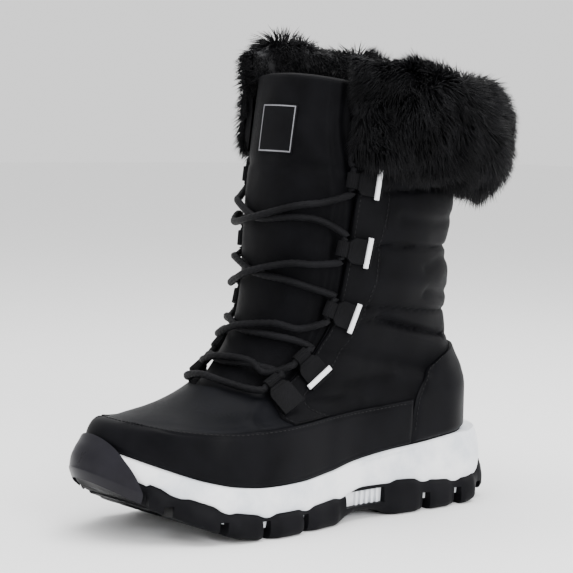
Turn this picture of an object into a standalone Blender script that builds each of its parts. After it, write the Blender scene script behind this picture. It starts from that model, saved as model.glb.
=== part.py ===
"""Snow boot for the left foot, standing empty on its sole.

The toe points to +X, the outer (lateral) side of the foot is +Y and +Z is up. Sizes are in
millimetres and are written out in metres. A place round the boot is a turn from 0 at the toe
to 1 at the heel, positive on the lateral side and negative on the medial side.
"""
import bisect
import math

import bmesh
import bpy
from mathutils import Vector

MM = 0.001

# Whole boot
SOLE_LENGTH = 285.0
BALL_WIDTH = 106.0
SHAFT_HEIGHT = 250.0

# Sole
TOE_SPRING = 32.0
HEEL_BEVEL = 14.0
ARCH_RISE = 5.0
PLATE = 6.0
RIM_THICKNESS = 3.6
RIM_HEIGHT = 13.0
LUG_RELIEF = 2.2
NOTCH_HEIGHT = 9.0
GROOVE_WIDTH = 5.5
GROOVE_SPIKE = 24.0
GROOVE_POINT = 7.0
WAVE_HEIGHT = 46.0
WINDOW_HEIGHT = 9.0
WINDOW_DEPTH = 17.0
STRIP = 3.6
BUMPER_WALL = 2.2
BUMPER_HEIGHT = 62.0
INSOLE = 4.0
LIP = 1.4
LIP_INSET = 2.4

# Section of the outsole's cup: insets from the outline and heights over the tread or rim
TREAD_INSET = 4.0
CORNER_INSET = 0.8
CORNER_UP = 3.0
SIDE_INSET = 0.3
SIDE_UP = 2.0
SIDE_SHARE = 0.55
RIM_INSET = 1.6
RIM_DIP = 0.6
PLATE_STEP = 1.0
SCALLOP = 1.5

# Section of the foam's wall and of the toe bumper over it
FOAM_INSET = 1.9
BELLY_INSET = 1.0
TOE_EDGE_UP = 1.5
TOE_BELLY_UP = 7.0
TOE_TOP_INSET = 3.2

# Upright ribs of the foam in the windows of the waist
RIB_COUNT = 5
RIB_WIDTH = 2.0
RIB_PITCH = 4.2
RIB_PROUD = 2.4
RIB_FIRST = 7.0

# Upper and what is sewn on it
UPPER_WALL = 3.0
PUFF = 1.6
OVERLAY = 1.5
FACING_WIDTH = 18.0
TONGUE_THICKNESS = 5.0
TONGUE_CLEARANCE = 1.6
TONGUE_TUCK = 9.0
STITCH_REACH = 0.6
LABEL_WIDTH = 27.0
LABEL_THICKNESS = 1.2

# Fur collar
FUR_DEPTH = 32.0
FUR_HEIGHT = 66.0
FUR_THIN = 0.30
FUR_BELOW = 28.0
LOCK_LENGTH = 7.0
LOCK_SWAY = 2.5
LOCK_DROOP = 2.0

# Lacing
LACE_DIAMETER = 4.0
LACE_PROUD = 1.6
LACE_OVER = 1.4
LACE_CLEAR = 3.6
LACE_STEPS = 2
LACE_SIDES = 6
LOOP_WIDTH = 15.0
LOOP_NECK = 9.0
LOOP_REACH = 4.9
LOOP_STRAP = 1.7
LOOP_BORE = 4.8
LOOP_WALL = 1.1
LOOP_TUNNEL_UP = 1.5
LOOP_LIFT = 1.9
LOOP_DROP = 1.0
LOOP_SIDES = 8
LOOP_UNDER_FUR = 14.5
TAB_LENGTH = 18.0
TAB_WIDTH = 3.0
TAB_THICKNESS = 1.2
TAB_SETBACK = 11.0

GAP = 0.3

# Grid of the upper: columns over half the throat, columns from its edge to the heel
THROAT_COLUMNS = 5
SIDE_COLUMNS = 13


class Table:
    """Rows chosen by hand under named columns, read smoothly along the first column."""

    def __init__(self, names, rows):
        self.names = names.split()
        self.rows = rows
        self.keys = [row[0] for row in rows]

    def values(self, name):
        place = self.names.index(name)
        return [row[place] for row in self.rows]

    def at(self, name, where):
        """Monotone cubic through the column's values."""
        keys, values = self.keys, self.values(name)
        where = min(max(where, keys[0]), keys[-1])
        i = min(max(bisect.bisect_right(keys, where) - 1, 0), len(keys) - 2)
        width = keys[i + 1] - keys[i]
        share = (where - keys[i]) / width
        rise = (values[i + 1] - values[i]) / width
        start = self.slope(values, i, rise)
        end = self.slope(values, i + 1, rise)
        return (values[i] * (1 + 2 * share) * (1 - share) ** 2
                + values[i + 1] * share ** 2 * (3 - 2 * share)
                + width * share * (1 - share) * (start * (1 - share) - end * share))

    def slope(self, values, i, rise):
        """Slope at a row: none at a peak, else the harmonic mean of both sides."""
        if i == 0 or i == len(values) - 1:
            return rise
        before = (values[i] - values[i - 1]) / (self.keys[i] - self.keys[i - 1])
        after = (values[i + 1] - values[i]) / (self.keys[i + 1] - self.keys[i])
        if before * after <= 0:
            return 0.0
        return 2 * before * after / (before + after)


# Plan of the sole, along it from the heel; centre and half width are shares of BALL_WIDTH
PLAN = Table("along centre half", (
    (0.00, 0.000, 0.350),
    (0.12, 0.010, 0.375),
    (0.25, 0.020, 0.385),
    (0.40, 0.030, 0.375),
    (0.50, 0.040, 0.400),
    (0.60, 0.040, 0.455),
    (0.70, 0.025, 0.495),
    (0.80, 0.005, 0.490),
    (0.90, -0.035, 0.435),
    (1.00, -0.090, 0.370),
))
HEEL_ROUND = 0.13
HEEL_BEVEL_SHARE = 0.13
TOE_ROUND = 0.24

# Side of the sole: rocker is a share of TOE_SPRING, rim of RIM_HEIGHT, wave of WAVE_HEIGHT
SIDE = Table("along rocker rim wave", (
    (0.00, 0.00, 1.25, 1.03),
    (0.10, 0.00, 1.10, 0.99),
    (0.20, 0.00, 1.20, 0.93),
    (0.30, 0.00, 1.45, 0.88),
    (0.42, 0.00, 1.50, 0.78),
    (0.50, 0.00, 1.10, 0.69),
    (0.60, 0.00, 0.95, 0.63),
    (0.70, 0.00, 0.95, 0.62),
    (0.77, 0.07, 0.98, 0.65),
    (0.84, 0.27, 0.98, 0.73),
    (0.92, 0.58, 0.95, 0.89),
    (1.00, 1.00, 0.90, 1.09),
))

# Sections of the upper from the sole to the collar. Front and back are shares of
# SOLE_LENGTH from the heel, their heights shares of SHAFT_HEIGHT, the half width a share of
# BALL_WIDTH. Foot is 1 for the plan of the foot and 0 for the oval of the leg, hug is how
# far the section follows the wave of the sole, throat is the turn of the throat's edge.
UPPER = Table("level front front_up back back_up half foot hug throat", (
    (0.00, 0.962, 0.156, 0.062, 0.125, 0.440, 1.00, 1.00, 0.250),
    (0.08, 0.970, 0.210, 0.056, 0.190, 0.450, 1.00, 1.00, 0.250),
    (0.20, 0.950, 0.250, 0.056, 0.287, 0.445, 1.00, 0.22, 0.250),
    (0.30, 0.905, 0.262, 0.064, 0.333, 0.425, 0.95, 0.28, 0.250),
    (0.40, 0.820, 0.283, 0.085, 0.379, 0.400, 0.80, 0.34, 0.250),
    (0.50, 0.731, 0.325, 0.108, 0.426, 0.395, 0.55, 0.36, 0.258),
    (0.57, 0.658, 0.403, 0.122, 0.474, 0.410, 0.30, 0.25, 0.300),
    (0.64, 0.617, 0.491, 0.131, 0.533, 0.435, 0.12, 0.10, 0.330),
    (0.72, 0.603, 0.590, 0.138, 0.605, 0.460, 0.00, 0.00, 0.348),
    (0.80, 0.598, 0.687, 0.134, 0.682, 0.475, 0.00, 0.00, 0.353),
    (0.88, 0.590, 0.788, 0.124, 0.752, 0.485, 0.00, 0.00, 0.362),
    (0.94, 0.581, 0.879, 0.118, 0.818, 0.490, 0.00, 0.00, 0.345),
    (1.00, 0.570, 0.972, 0.115, 0.886, 0.495, 0.00, 0.00, 0.325),
    (1.08, 0.558, 1.060, 0.113, 0.950, 0.495, 0.00, 0.00, 0.325),
))
OVAL_POWER = 0.86
RIM_LEVEL = 0.070
BAND_LEVEL = 0.20
FACING_TOP = 0.90
VAMP_LEVEL = 0.50
COLLAR_LEVEL = 1.00
UPPER_LEVELS = (0.0, RIM_LEVEL, 0.13, BAND_LEVEL, 0.26, 0.33, 0.40, 0.45, VAMP_LEVEL, 0.54,
                0.59, 0.64, 0.70, 0.76, 0.815, 0.87, 0.935, COLLAR_LEVEL)
QUILT_SEAMS = (0.54, 0.64, 0.76, 0.87, COLLAR_LEVEL)

SIDE_NAMES = {1: "lateral", -1: "medial"}

# Rows of lace loops: the top one hangs under the fur, the others lie at levels of the upper
LOWER_LOOP_LEVELS = (0.765, 0.646, 0.556, 0.505)
ROWS = 1 + len(LOWER_LOOP_LEVELS)
TABBED_ROWS = 4
# How far each row's seat is raised over the dent between foot and leg
LOOP_SEATS = (0.0, 0.0, 0.0, 0.0, 0.8)
# How far the upper end of each row's loops leans back from the throat's edge, in degrees
LOOP_LEANS = (9.0, 4.0, 2.0, 5.0, 0.0)

# Route of the lace under each row, as shares of the way down to the next row: near the loop
# and halfway to the middle of the throat, at the middle, and halfway and near on the far side
LACE_ROUTE = (
    (0.31, 0.39, 0.59, 0.54, 0.58),
    (0.25, 0.24, 0.42, 0.51, 0.63),
    (0.33, 0.26, 0.42, 0.48, 0.54),
    (0.36, 0.05, 0.12, 0.14, 0.22),
)
LACE_NEAR = 0.70
LACE_HALF = 0.42
LACE_SPREAD = 0.15

# Forefoot grooves, each crossing the sole: where its outer end, outer knee, middle, inner
# knee and inner end lie along the sole
GROOVES = Table("middle outer outer_knee inner_knee inner", (
    (0.566, 0.596, 0.612, 0.633, 0.600),
    (0.664, 0.705, 0.715, 0.740, 0.702),
    (0.758, 0.800, 0.810, 0.835, 0.803),
    (0.860, 0.888, 0.899, 0.918, 0.900),
))
# Heel grooves point the other way
HEEL_GROOVES = Table("middle outer outer_knee inner_knee inner", (
    (0.085, 0.070, 0.060, 0.060, 0.070),
    (0.185, 0.154, 0.143, 0.143, 0.154),
    (0.283, 0.250, 0.240, 0.240, 0.250),
))
KNEE_OUT = 0.34
WINDOW_START = 0.352
WINDOW_END = 0.484

# Oval hole between the windows, as shares of SOLE_LENGTH and BALL_WIDTH
OVAL_ALONG = 0.428
OVAL_ACROSS = 0.047
OVAL_LENGTH = 15.0
OVAL_WIDTH = 25.0
OVAL_SIDES = 16


def share_of(turn):
    """Place along the sole, from the heel, of a turn round it."""
    return 0.5 + 0.5 * math.cos(math.pi * abs(turn))


def turn_of(share):
    """Turn round the sole of a place along it."""
    return math.acos(2 * share - 1) / math.pi


def rounding(share):
    """How far the rounded ends pull the outline in, from 1 down to 0 at the tips."""
    if share < HEEL_ROUND:
        return math.sqrt(max(0.0, 1 - (1 - share / HEEL_ROUND) ** 2.2))
    if share > 1 - TOE_ROUND:
        return math.sqrt(max(0.0, 1 - ((share - 1 + TOE_ROUND) / TOE_ROUND) ** 2.3))
    return 1.0


def plan_point(turn):
    """The sole's outline in plan, before anything is inset."""
    share = share_of(turn)
    side = 1 if turn >= 0 else -1
    half = PLAN.at("half", share) * rounding(share)
    return Vector((SOLE_LENGTH * (share - 0.5),
                   BALL_WIDTH * (PLAN.at("centre", share) + side * half)))


def wrapped(turn):
    """A turn kept between -1 and 1."""
    return (turn + 1) % 2 - 1


def plan_inset(turn, inset):
    """The outline moved inwards, or outwards where the inset is negative."""
    step = 0.004
    ahead = plan_point(wrapped(turn + step))
    behind = plan_point(wrapped(turn - step))
    along = (ahead - behind).normalized()
    outwards = Vector((-along.y, along.x))
    point = plan_point(turn)
    if outwards.dot(point - Vector((SOLE_LENGTH * (share_of(turn) - 0.5) * 0.8, 0))) < 0:
        outwards.negate()
    return point - outwards * inset


def rocker(share):
    """Height of the tread's plane: flat, with toe spring and a small heel bevel."""
    bevel = max(0.0, 1 - share / HEEL_BEVEL_SHARE) ** 2
    return TOE_SPRING * SIDE.at("rocker", share) + HEEL_BEVEL * bevel


def wave_sag(share):
    """How far the sole's top line lies under a straight line between its ends."""
    ends = SIDE.at("wave", 0) * (1 - share) + SIDE.at("wave", 1) * share
    return WAVE_HEIGHT * (SIDE.at("wave", share) - ends)


def puff(level, turn):
    """Soft swelling of the padded panels between the quilting seams of the shaft."""
    if level <= QUILT_SEAMS[0] or level >= QUILT_SEAMS[-1]:
        return 0.0
    i = bisect.bisect_right(QUILT_SEAMS, level) - 1
    phase = (level - QUILT_SEAMS[i]) / (QUILT_SEAMS[i + 1] - QUILT_SEAMS[i])
    away = min(1.0, max(0.0, (abs(turn) - UPPER.at("throat", level)) * 8))
    return PUFF * math.sin(math.pi * phase) * away


def upper_surface(turn, level):
    """Outer face of the upper without its quilting."""
    foot = UPPER.at("foot", level)
    front = SOLE_LENGTH * (UPPER.at("front", level) - 0.5)
    back = SOLE_LENGTH * (UPPER.at("back", level) - 0.5)
    front_up = SHAFT_HEIGHT * UPPER.at("front_up", level)
    back_up = SHAFT_HEIGHT * UPPER.at("back_up", level)
    half = BALL_WIDTH * UPPER.at("half", level)
    side = 1 if turn >= 0 else -1
    angle = math.pi * abs(turn)
    cosine = math.cos(angle)
    reach = math.copysign(abs(cosine) ** OVAL_POWER, cosine)
    oval_share = 0.5 + 0.5 * reach
    oval_width = side * abs(math.sin(angle)) ** OVAL_POWER
    share = share_of(turn)
    foot_width = 2 * plan_point(turn).y / BALL_WIDTH
    along = foot * share + (1 - foot) * oval_share
    across = foot * foot_width + (1 - foot) * oval_width
    height = back_up + (front_up - back_up) * along + UPPER.at("hug", level) * wave_sag(along)
    return Vector((back + (front - back) * along, half * across, height))


def upper_point(turn, level, offset=0.0):
    """A point off the upper's outer face, along its outward normal."""
    step = 0.006
    low, high = max(level - step, 0.0), min(level + step, UPPER.keys[-1])
    round_it = upper_surface(wrapped(turn + step), level) - upper_surface(wrapped(turn - step), level)
    up_it = upper_surface(turn, high) - upper_surface(turn, low)
    normal = up_it.cross(round_it)
    centre = upper_surface(0, level).lerp(upper_surface(1, level), 0.5)
    point = upper_surface(turn, level)
    normal.normalize()
    if normal.dot(point - centre) < 0:
        normal.negate()
    return point + normal * (offset + puff(level, turn))


def column_turn(column, level):
    """Turn of a grid column: some share out the throat, the rest run from it to the heel."""
    edge = UPPER.at("throat", level)
    side = 1 if column >= 0 else -1
    place = abs(column)
    if place <= THROAT_COLUMNS:
        return side * edge * place / THROAT_COLUMNS
    return side * (edge + (1 - edge) * (place - THROAT_COLUMNS) / SIDE_COLUMNS)


HEEL_COLUMN = THROAT_COLUMNS + SIDE_COLUMNS


def grid_point(column, level, offset):
    return upper_point(column_turn(column, level), level, offset)


def new_object(name, points, faces, material, flat=False):
    """One closed mesh from points in millimetres."""
    mesh = bpy.data.meshes.new(name)
    mesh.from_pydata([Vector(p) * MM for p in points], [], faces)
    work = bmesh.new()
    work.from_mesh(mesh)
    bmesh.ops.recalc_face_normals(work, faces=work.faces)
    work.to_mesh(mesh)
    work.free()
    mesh.update()
    if not flat:
        mesh.shade_smooth()
        mesh.set_sharp_from_angle(angle=math.radians(40))
    mesh.materials.append(material)
    item = bpy.data.objects.new(name, mesh)
    bpy.context.scene.collection.objects.link(item)
    return item


def make_material(name, colour, roughness, metallic=0.0):
    material = bpy.data.materials.new(name)
    material.use_nodes = True
    shader = material.node_tree.nodes["Principled BSDF"]
    shader.inputs["Base Color"].default_value = (*colour, 1)
    shader.inputs["Roughness"].default_value = roughness
    shader.inputs["Metallic"].default_value = metallic
    material.diffuse_color = (*colour, 1)
    return material


def cell(a, b, e, f, away):
    """Two triangles of a cell, split up and away from the throat on both sides of the boot.

    A and b are its lower corners, e and f the upper ones above b and a. Away is true where
    b is farther from the throat than a. Layers that share a grid then stay parallel.
    """
    return [(a, b, e), (a, e, f)] if away else [(a, b, f), (b, e, f)]


def turned(faces, start):
    """The same faces on another layer of points, facing the other way."""
    return [tuple(start + corner for corner in reversed(face)) for face in faces]


def shell(name, rows, inner_rows, columns, material):
    """A wall between two grids of the same size, closed at its rims."""
    count = len(columns)
    points = [p for row in rows for p in row] + [p for row in inner_rows for p in row]
    inner = len(rows) * count
    faces = []
    for r in range(len(rows) - 1):
        for c in range(count - 1):
            a, b = r * count + c, r * count + c + 1
            skin = cell(a, b, b + count, a + count, abs(columns[c]) < abs(columns[c + 1]))
            faces += skin + turned(skin, inner)
    last = (len(rows) - 1) * count
    for c in range(count - 1):
        faces.append((c, inner + c, inner + c + 1, c + 1))
        faces.append((last + c, last + c + 1, inner + last + c + 1, inner + last + c))
    for r in range(len(rows) - 1):
        a, b = r * count, (r + 1) * count
        faces.append((a, b, inner + b, inner + a))
        end = count - 1
        faces.append((a + end, inner + a + end, inner + b + end, b + end))
    return new_object(name, points, faces, material)


def rings_closed(name, rings, material, cap_bottom=True, cap_top=True):
    """Rings of equal count joined in turn; caps span each ring from side to side."""
    count = len(rings[0])
    points = [p for ring in rings for p in ring]
    faces = []
    for r in range(len(rings) - 1):
        for c in range(count):
            d = (c + 1) % count
            faces.append((r * count + c, r * count + d, (r + 1) * count + d, (r + 1) * count + c))
    if cap_bottom:
        faces += cap_faces(count, 0)
    if cap_top:
        faces += cap_faces(count, (len(rings) - 1) * count)
    return new_object(name, points, faces, material)


def cap_faces(count, start):
    """Faces across a ring that runs from the toe down one side and up the other."""
    faces = []
    for c in range(count // 2):
        a, b = c, c + 1
        far_a, far_b = (count - c) % count, count - c - 1
        corners = []
        for place in (a, b, far_b, far_a):
            if place not in corners:
                corners.append(place)
        faces.append(tuple(start + place for place in corners))
    return faces


def ring_of(turns, point_at):
    """Points at the turns of the lateral side from toe to heel, then back on the medial side."""
    outer = [point_at(turn) for turn in turns]
    back = [point_at(-turn) for turn in reversed(turns[1:-1])]
    return outer + back


def stitched(ring_a, turns_a, ring_b, turns_b, start_a, start_b):
    """Triangles between two rings of different counts, matched by their turns."""
    around_a = places_round(turns_a)
    around_b = places_round(turns_b)
    count_a, count_b = len(ring_a), len(ring_b)
    faces = []
    i = j = 0
    while i < count_a or j < count_b:
        next_a = around_a[i + 1] if i < count_a else 9.0
        next_b = around_b[j + 1] if j < count_b else 9.0
        a, b = start_a + i % count_a, start_b + j % count_b
        if next_a <= next_b:
            i += 1
            faces.append((a, start_a + i % count_a, b))
        else:
            j += 1
            faces.append((a, start_b + j % count_b, b))
    return faces


def places_round(turns):
    """Turns counted once round, from 0 at the toe to 2 back at the toe."""
    return list(turns) + [2 - turn for turn in reversed(turns[:-1])]


def boolean(item, cutter, operation):
    """Apply an exact Boolean, then drop the cutter."""
    modifier = item.modifiers.new(operation, "BOOLEAN")
    modifier.operation = operation
    modifier.solver = "EXACT"
    modifier.object = cutter
    graph = bpy.context.evaluated_depsgraph_get()
    mesh = bpy.data.meshes.new_from_object(item.evaluated_get(graph))
    item.modifiers.clear()
    old = item.data
    item.data = mesh
    mesh.name = item.name
    bpy.data.meshes.remove(old)
    bpy.data.objects.remove(cutter)


def prism(outline, axis, low, high):
    """A cutter: an outline in the plane across an axis, extruded from low to high."""
    points = []
    for level in (low, high):
        for a, b in outline:
            points.append({"y": (a, level, b), "z": (a, b, level)}[axis])
    count = len(outline)
    faces = [tuple(range(count)), tuple(reversed(range(count, 2 * count)))]
    for i in range(count):
        j = (i + 1) % count
        faces.append((i, count + i, count + j, j))
    item = new_object("cutter", points, faces, bpy.data.materials[0], flat=True)
    item.hide_render = True
    item.display_type = "WIRE"
    return item


def sole_turns():
    """Turns of the sole's columns: even round the toe and heel, and in fours on each lug."""
    toe = [UPPER.at("throat", 0) * i / THROAT_COLUMNS for i in range(4)]
    notches = sorted(HEEL_GROOVES.values("outer") + [WINDOW_START, WINDOW_END]
                     + GROOVES.values("outer"), reverse=True)
    half_notch = 0.64 * GROOVE_WIDTH / SOLE_LENGTH
    shares = []
    for i, notch in enumerate(notches):
        shares += [notch + half_notch, notch - half_notch]
        if i < len(notches) - 1:
            shares.append((notch + notches[i + 1]) / 2)
    sides = [turn_of(share) for share in shares]
    heel = [turn for turn in (0.885, 0.94, 1.0) if turn > sides[-1] + 0.02]
    return [turn for turn in toe if turn < sides[0] - 0.01] + sides + heel


def lug_relief(turn):
    """How far a lug stands out of the sole's side: nothing at a notch."""
    share = share_of(turn)
    notches = HEEL_GROOVES.values("outer") + GROOVES.values("outer") + [WINDOW_START, WINDOW_END]
    nearest = min(abs(share - notch) for notch in notches) * SOLE_LENGTH
    if WINDOW_START < share < WINDOW_END or share > 0.93:
        return 0.0
    return LUG_RELIEF * min(1.0, nearest / (2.2 * GROOVE_WIDTH))


def arch(share):
    """Rise of the waist between the heel block and the forefoot lugs."""
    if not WINDOW_START < share < WINDOW_END:
        return 0.0
    phase = (share - WINDOW_START) / (WINDOW_END - WINDOW_START)
    return ARCH_RISE * math.sin(math.pi * phase) ** 0.5


def rim_height(turn):
    """Height of the outsole's wavy upper edge, a little higher over each lug."""
    share = share_of(turn)
    scallop = SCALLOP * lug_relief(turn) / LUG_RELIEF
    return rocker(share) + RIM_HEIGHT * SIDE.at("rim", share) + scallop


def side_height(turn):
    """Height at which the outsole's side stands out farthest."""
    share = share_of(turn)
    return rocker(share) + SIDE_SHARE * RIM_HEIGHT * SIDE.at("rim", share) + SIDE_UP


def sole_point(turn, inset, height):
    flat = plan_inset(turn, inset)
    return Vector((flat.x, flat.y, height))


def outsole_rings(turns):
    """Rings of the cup from the tread up over the rim and down to the plate."""
    def tread(turn):
        share = share_of(turn)
        return sole_point(turn, TREAD_INSET - lug_relief(turn), rocker(share) + arch(share))

    def corner(turn):
        share = share_of(turn)
        height = rocker(share) + arch(share) + CORNER_UP
        return sole_point(turn, CORNER_INSET - lug_relief(turn), height)

    def side(turn):
        return sole_point(turn, SIDE_INSET - lug_relief(turn) / 2, side_height(turn))

    def rim_outer(turn):
        return sole_point(turn, RIM_INSET, rim_height(turn))

    def rim_inner(turn):
        return sole_point(turn, RIM_THICKNESS, rim_height(turn) - RIM_DIP)

    def plate_edge(turn):
        return sole_point(turn, RIM_THICKNESS + PLATE_STEP, rocker(share_of(turn)) + PLATE)

    return [ring_of(turns, ring) for ring in (tread, corner, side, rim_outer, rim_inner, plate_edge)]


def groove_outline(groove, spike_way):
    """Plan of one chevron groove that crosses the tread, with a pointed spike."""
    middle, outer, outer_knee, inner_knee, inner = [
        SOLE_LENGTH * (share - 0.5) for share in groove]
    wide = BALL_WIDTH * 0.62
    knee = BALL_WIDTH * KNEE_OUT * (0.85 if spike_way > 0 else 1.0)
    half = GROOVE_WIDTH / 2
    back = -spike_way * half
    tip = middle + spike_way * GROOVE_SPIKE
    front = -spike_way * half
    return [
        (outer + front, wide), (outer_knee + front, knee), (middle + front, 0),
        (inner_knee + front, -knee), (inner + front, -wide),
        (inner - back, -wide), (inner_knee - back, -knee),
        (middle + spike_way * 1.6 * half, -GROOVE_POINT), (tip, 0),
        (middle + spike_way * 1.6 * half, GROOVE_POINT),
        (outer_knee - back, knee), (outer - back, wide),
    ]


def window_cutters():
    """Waist windows: an opening in the side above a strip, and one in the tread inside it."""
    cutters = []
    start, end = (SOLE_LENGTH * (share - 0.5) for share in (WINDOW_START, WINDOW_END))
    half = GROOVE_WIDTH / 2
    start += half
    end -= half
    for side in (1, -1):
        turns = [turn_of(WINDOW_START + (WINDOW_END - WINDOW_START) * i / 3) for i in range(4)]
        edge = [plan_point(side * turn) for turn in turns]
        edge[0].x = start
        edge[-1].x = end
        strip_top = ARCH_RISE + STRIP
        outer = [(p.x, p.y + side * WINDOW_HEIGHT) for p in edge]
        inner = [(p.x, p.y - side * WINDOW_DEPTH) for p in reversed(edge)]
        cutters.append(prism(outer + inner, "z", strip_top, strip_top + WINDOW_HEIGHT))
        outer = [(p.x, p.y - side * (STRIP + PLATE_STEP)) for p in edge]
        cutters.append(prism(outer + inner, "z", -PLATE, strip_top + PLATE_STEP))
    return cutters


def oval_cutter():
    """Oval hole through the plate of the waist."""
    middle = SOLE_LENGTH * (OVAL_ALONG - 0.5), BALL_WIDTH * OVAL_ACROSS
    outline = []
    for i in range(OVAL_SIDES):
        angle = 2 * math.pi * i / OVAL_SIDES
        outline.append((middle[0] + OVAL_LENGTH / 2 * math.cos(angle),
                        middle[1] + OVAL_WIDTH / 2 * math.sin(angle)))
    return prism(outline, "z", -PLATE, PLATE + PLATE_STEP)


def make_outsole(materials):
    turns = sole_turns()
    item = rings_closed("outsole", outsole_rings(turns), materials["rubber"])
    for groove in GROOVES.rows:
        lift = rocker(groove[0])
        cutter = prism(groove_outline(groove, -1), "z", lift - NOTCH_HEIGHT, lift + NOTCH_HEIGHT)
        boolean(item, cutter, "DIFFERENCE")
    for groove in HEEL_GROOVES.rows:
        cutter = prism(groove_outline(groove, 1), "z", -NOTCH_HEIGHT, NOTCH_HEIGHT)
        boolean(item, cutter, "DIFFERENCE")
    for cutter in window_cutters() + [oval_cutter()]:
        boolean(item, cutter, "DIFFERENCE")
    return item


def upper_turns(level):
    return [column_turn(column, level) for column in range(HEEL_COLUMN + 1)]


def make_midsole(materials):
    """Foam unit: sits in the outsole's cup, covers its rim and cups the upper's edge."""
    turns = sole_turns()
    inner_turns = upper_turns(0)

    def plate_edge(turn):
        inset = RIM_THICKNESS + PLATE_STEP + GAP
        return sole_point(turn, inset, rocker(share_of(turn)) + PLATE + GAP)

    def over_rim_inner(turn):
        return sole_point(turn, RIM_THICKNESS + GAP, rim_height(turn) - RIM_DIP + GAP)

    def over_rim(turn):
        return sole_point(turn, FOAM_INSET, rim_height(turn) + GAP)

    def wall(share_up, inset):
        def ring(turn):
            low = rim_height(turn) + GAP
            high = upper_surface(turn, RIM_LEVEL).z
            return sole_point(turn, inset, low + (high - low) * share_up)
        return ring

    def lip(turn):
        """Top of the wall: inside the sole's outline, but always clear of the upper."""
        point = wall(0.98, 2 * LIP_INSET)(turn)
        side = 1 if turn >= 0 else -1
        back, front = UPPER.at("back", RIM_LEVEL), UPPER.at("front", RIM_LEVEL)
        share = (point.x / SOLE_LENGTH + 0.5 - back) / (front - back)
        if 0 < share < 1:
            beside = upper_surface(side * turn_of(share), RIM_LEVEL)
            least = beside.y + side * (GAP + LIP)
            point.y = side * max(side * point.y, side * least)
        return point

    def cup(turn):
        return upper_point(turn, RIM_LEVEL, GAP)

    outside = [ring_of(turns, ring) for ring in
               (plate_edge, over_rim_inner, over_rim, wall(0.3, BELLY_INSET), wall(0.75, LIP_INSET), lip)]
    inside = [ring_of(inner_turns, cup), ring_of(inner_turns, bed_edge)]
    count, inner_count = len(outside[0]), len(inside[0])
    points = [p for ring in outside + inside for p in ring]
    faces = []
    for r in range(len(outside) - 1):
        for c in range(count):
            d = (c + 1) % count
            faces.append((r * count + c, r * count + d, (r + 1) * count + d, (r + 1) * count + c))
    first = (len(outside) - 1) * count
    second = len(outside) * count
    faces += stitched(outside[-1], turns, inside[0], inner_turns, first, second)
    for c in range(inner_count):
        d = (c + 1) % inner_count
        low = second + inner_count
        faces += cell(low + c, low + d, second + d, second + c, c < HEEL_COLUMN)
    faces += cap_faces(count, 0)
    faces += cap_faces(inner_count, second + inner_count)
    item = new_object("midsole", points, faces, materials["foam"])
    add_ribs(item)
    return item


def add_ribs(item):
    """Upright ribs of foam that show in the windows of the waist."""
    low = ARCH_RISE + STRIP + GAP
    high = ARCH_RISE + STRIP + WINDOW_HEIGHT - GAP
    half = RIB_WIDTH / 2
    for side in SIDE_NAMES:
        for i in range(RIB_COUNT):
            turn = side * turn_of(WINDOW_START + (RIB_FIRST + RIB_PITCH * i) / SOLE_LENGTH)
            face = plan_inset(turn, RIM_THICKNESS + PLATE_STEP + GAP - RIB_PROUD)
            root = plan_inset(turn, 2 * RIM_THICKNESS)
            outline = [(face.x - half, face.y), (face.x + half, face.y),
                       (face.x + half, root.y), (face.x - half, root.y)]
            boolean(item, prism(outline, "z", low, high), "UNION")


def bed_edge(turn):
    """Edge of the midsole's bed, just under the upper's lower edge."""
    point = upper_point(turn, 0, GAP)
    point.z = min(upper_point(turn, 0).z, upper_point(turn, 0, -UPPER_WALL).z) - GAP
    return point


def make_insole(materials):
    turns = upper_turns(0)

    def ring(inset, lift):
        def at(turn):
            point = upper_point(turn, 0, -UPPER_WALL - inset)
            point.z = upper_surface(turn, 0).z + lift
            return point
        return ring_of(turns, at)

    return rings_closed("insole", [ring(INSOLE * 0.5, 0.0), ring(INSOLE * 0.35, INSOLE * 0.5),
                                   ring(INSOLE * 0.55, INSOLE)],
                        materials["lining"])


def make_upper(materials):
    """Hollow wall over the foot and leg, open below, at the throat and at the collar."""
    count = 2 * HEEL_COLUMN
    columns = list(range(HEEL_COLUMN + 1)) + list(range(-HEEL_COLUMN + 1, 0))
    points, faces = [], []
    for offset in (0.0, -UPPER_WALL):
        for level in UPPER_LEVELS:
            points += [grid_point(column, level, offset) for column in columns]
    inner = len(UPPER_LEVELS) * count
    vamp_row = UPPER_LEVELS.index(VAMP_LEVEL)

    def solid(row, c):
        if not 0 <= row < len(UPPER_LEVELS) - 1:
            return False
        if row < vamp_row:
            return True
        middle = c + 0.5 if c < HEEL_COLUMN else count - c - 0.5
        return middle > THROAT_COLUMNS

    for row in range(len(UPPER_LEVELS) - 1):
        for c in range(count):
            if not solid(row, c):
                continue
            d = (c + 1) % count
            a, b = row * count + c, row * count + d
            e, f = b + count, a + count
            skin = cell(a, b, e, f, c < HEEL_COLUMN)
            faces += skin + turned(skin, inner)
            if not solid(row - 1, c):
                faces.append((a, inner + a, inner + b, b))
            if not solid(row + 1, c):
                faces.append((f, e, inner + e, inner + f))
            if not solid(row, (c - 1) % count):
                faces.append((a, f, inner + f, inner + a))
            if not solid(row, d):
                faces.append((b, inner + b, inner + e, e))
    item = new_object("upper", points, faces, materials["nylon"])
    drop_loose(item)
    return item


def drop_loose(item):
    """Remove points that no face uses."""
    work = bmesh.new()
    work.from_mesh(item.data)
    loose = [vertex for vertex in work.verts if not vertex.link_faces]
    bmesh.ops.delete(work, geom=loose, context="VERTS")
    work.to_mesh(item.data)
    work.free()


def overlay(name, columns, levels, material, low=GAP, high=GAP + OVERLAY):
    """A layer over whole cells of the upper's grid."""
    outer = [[grid_point(column, level, high) for column in columns] for level in levels]
    inner = [[grid_point(column, level, low) for column in columns] for level in levels]
    return shell(name, outer, inner, columns, material)


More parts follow.
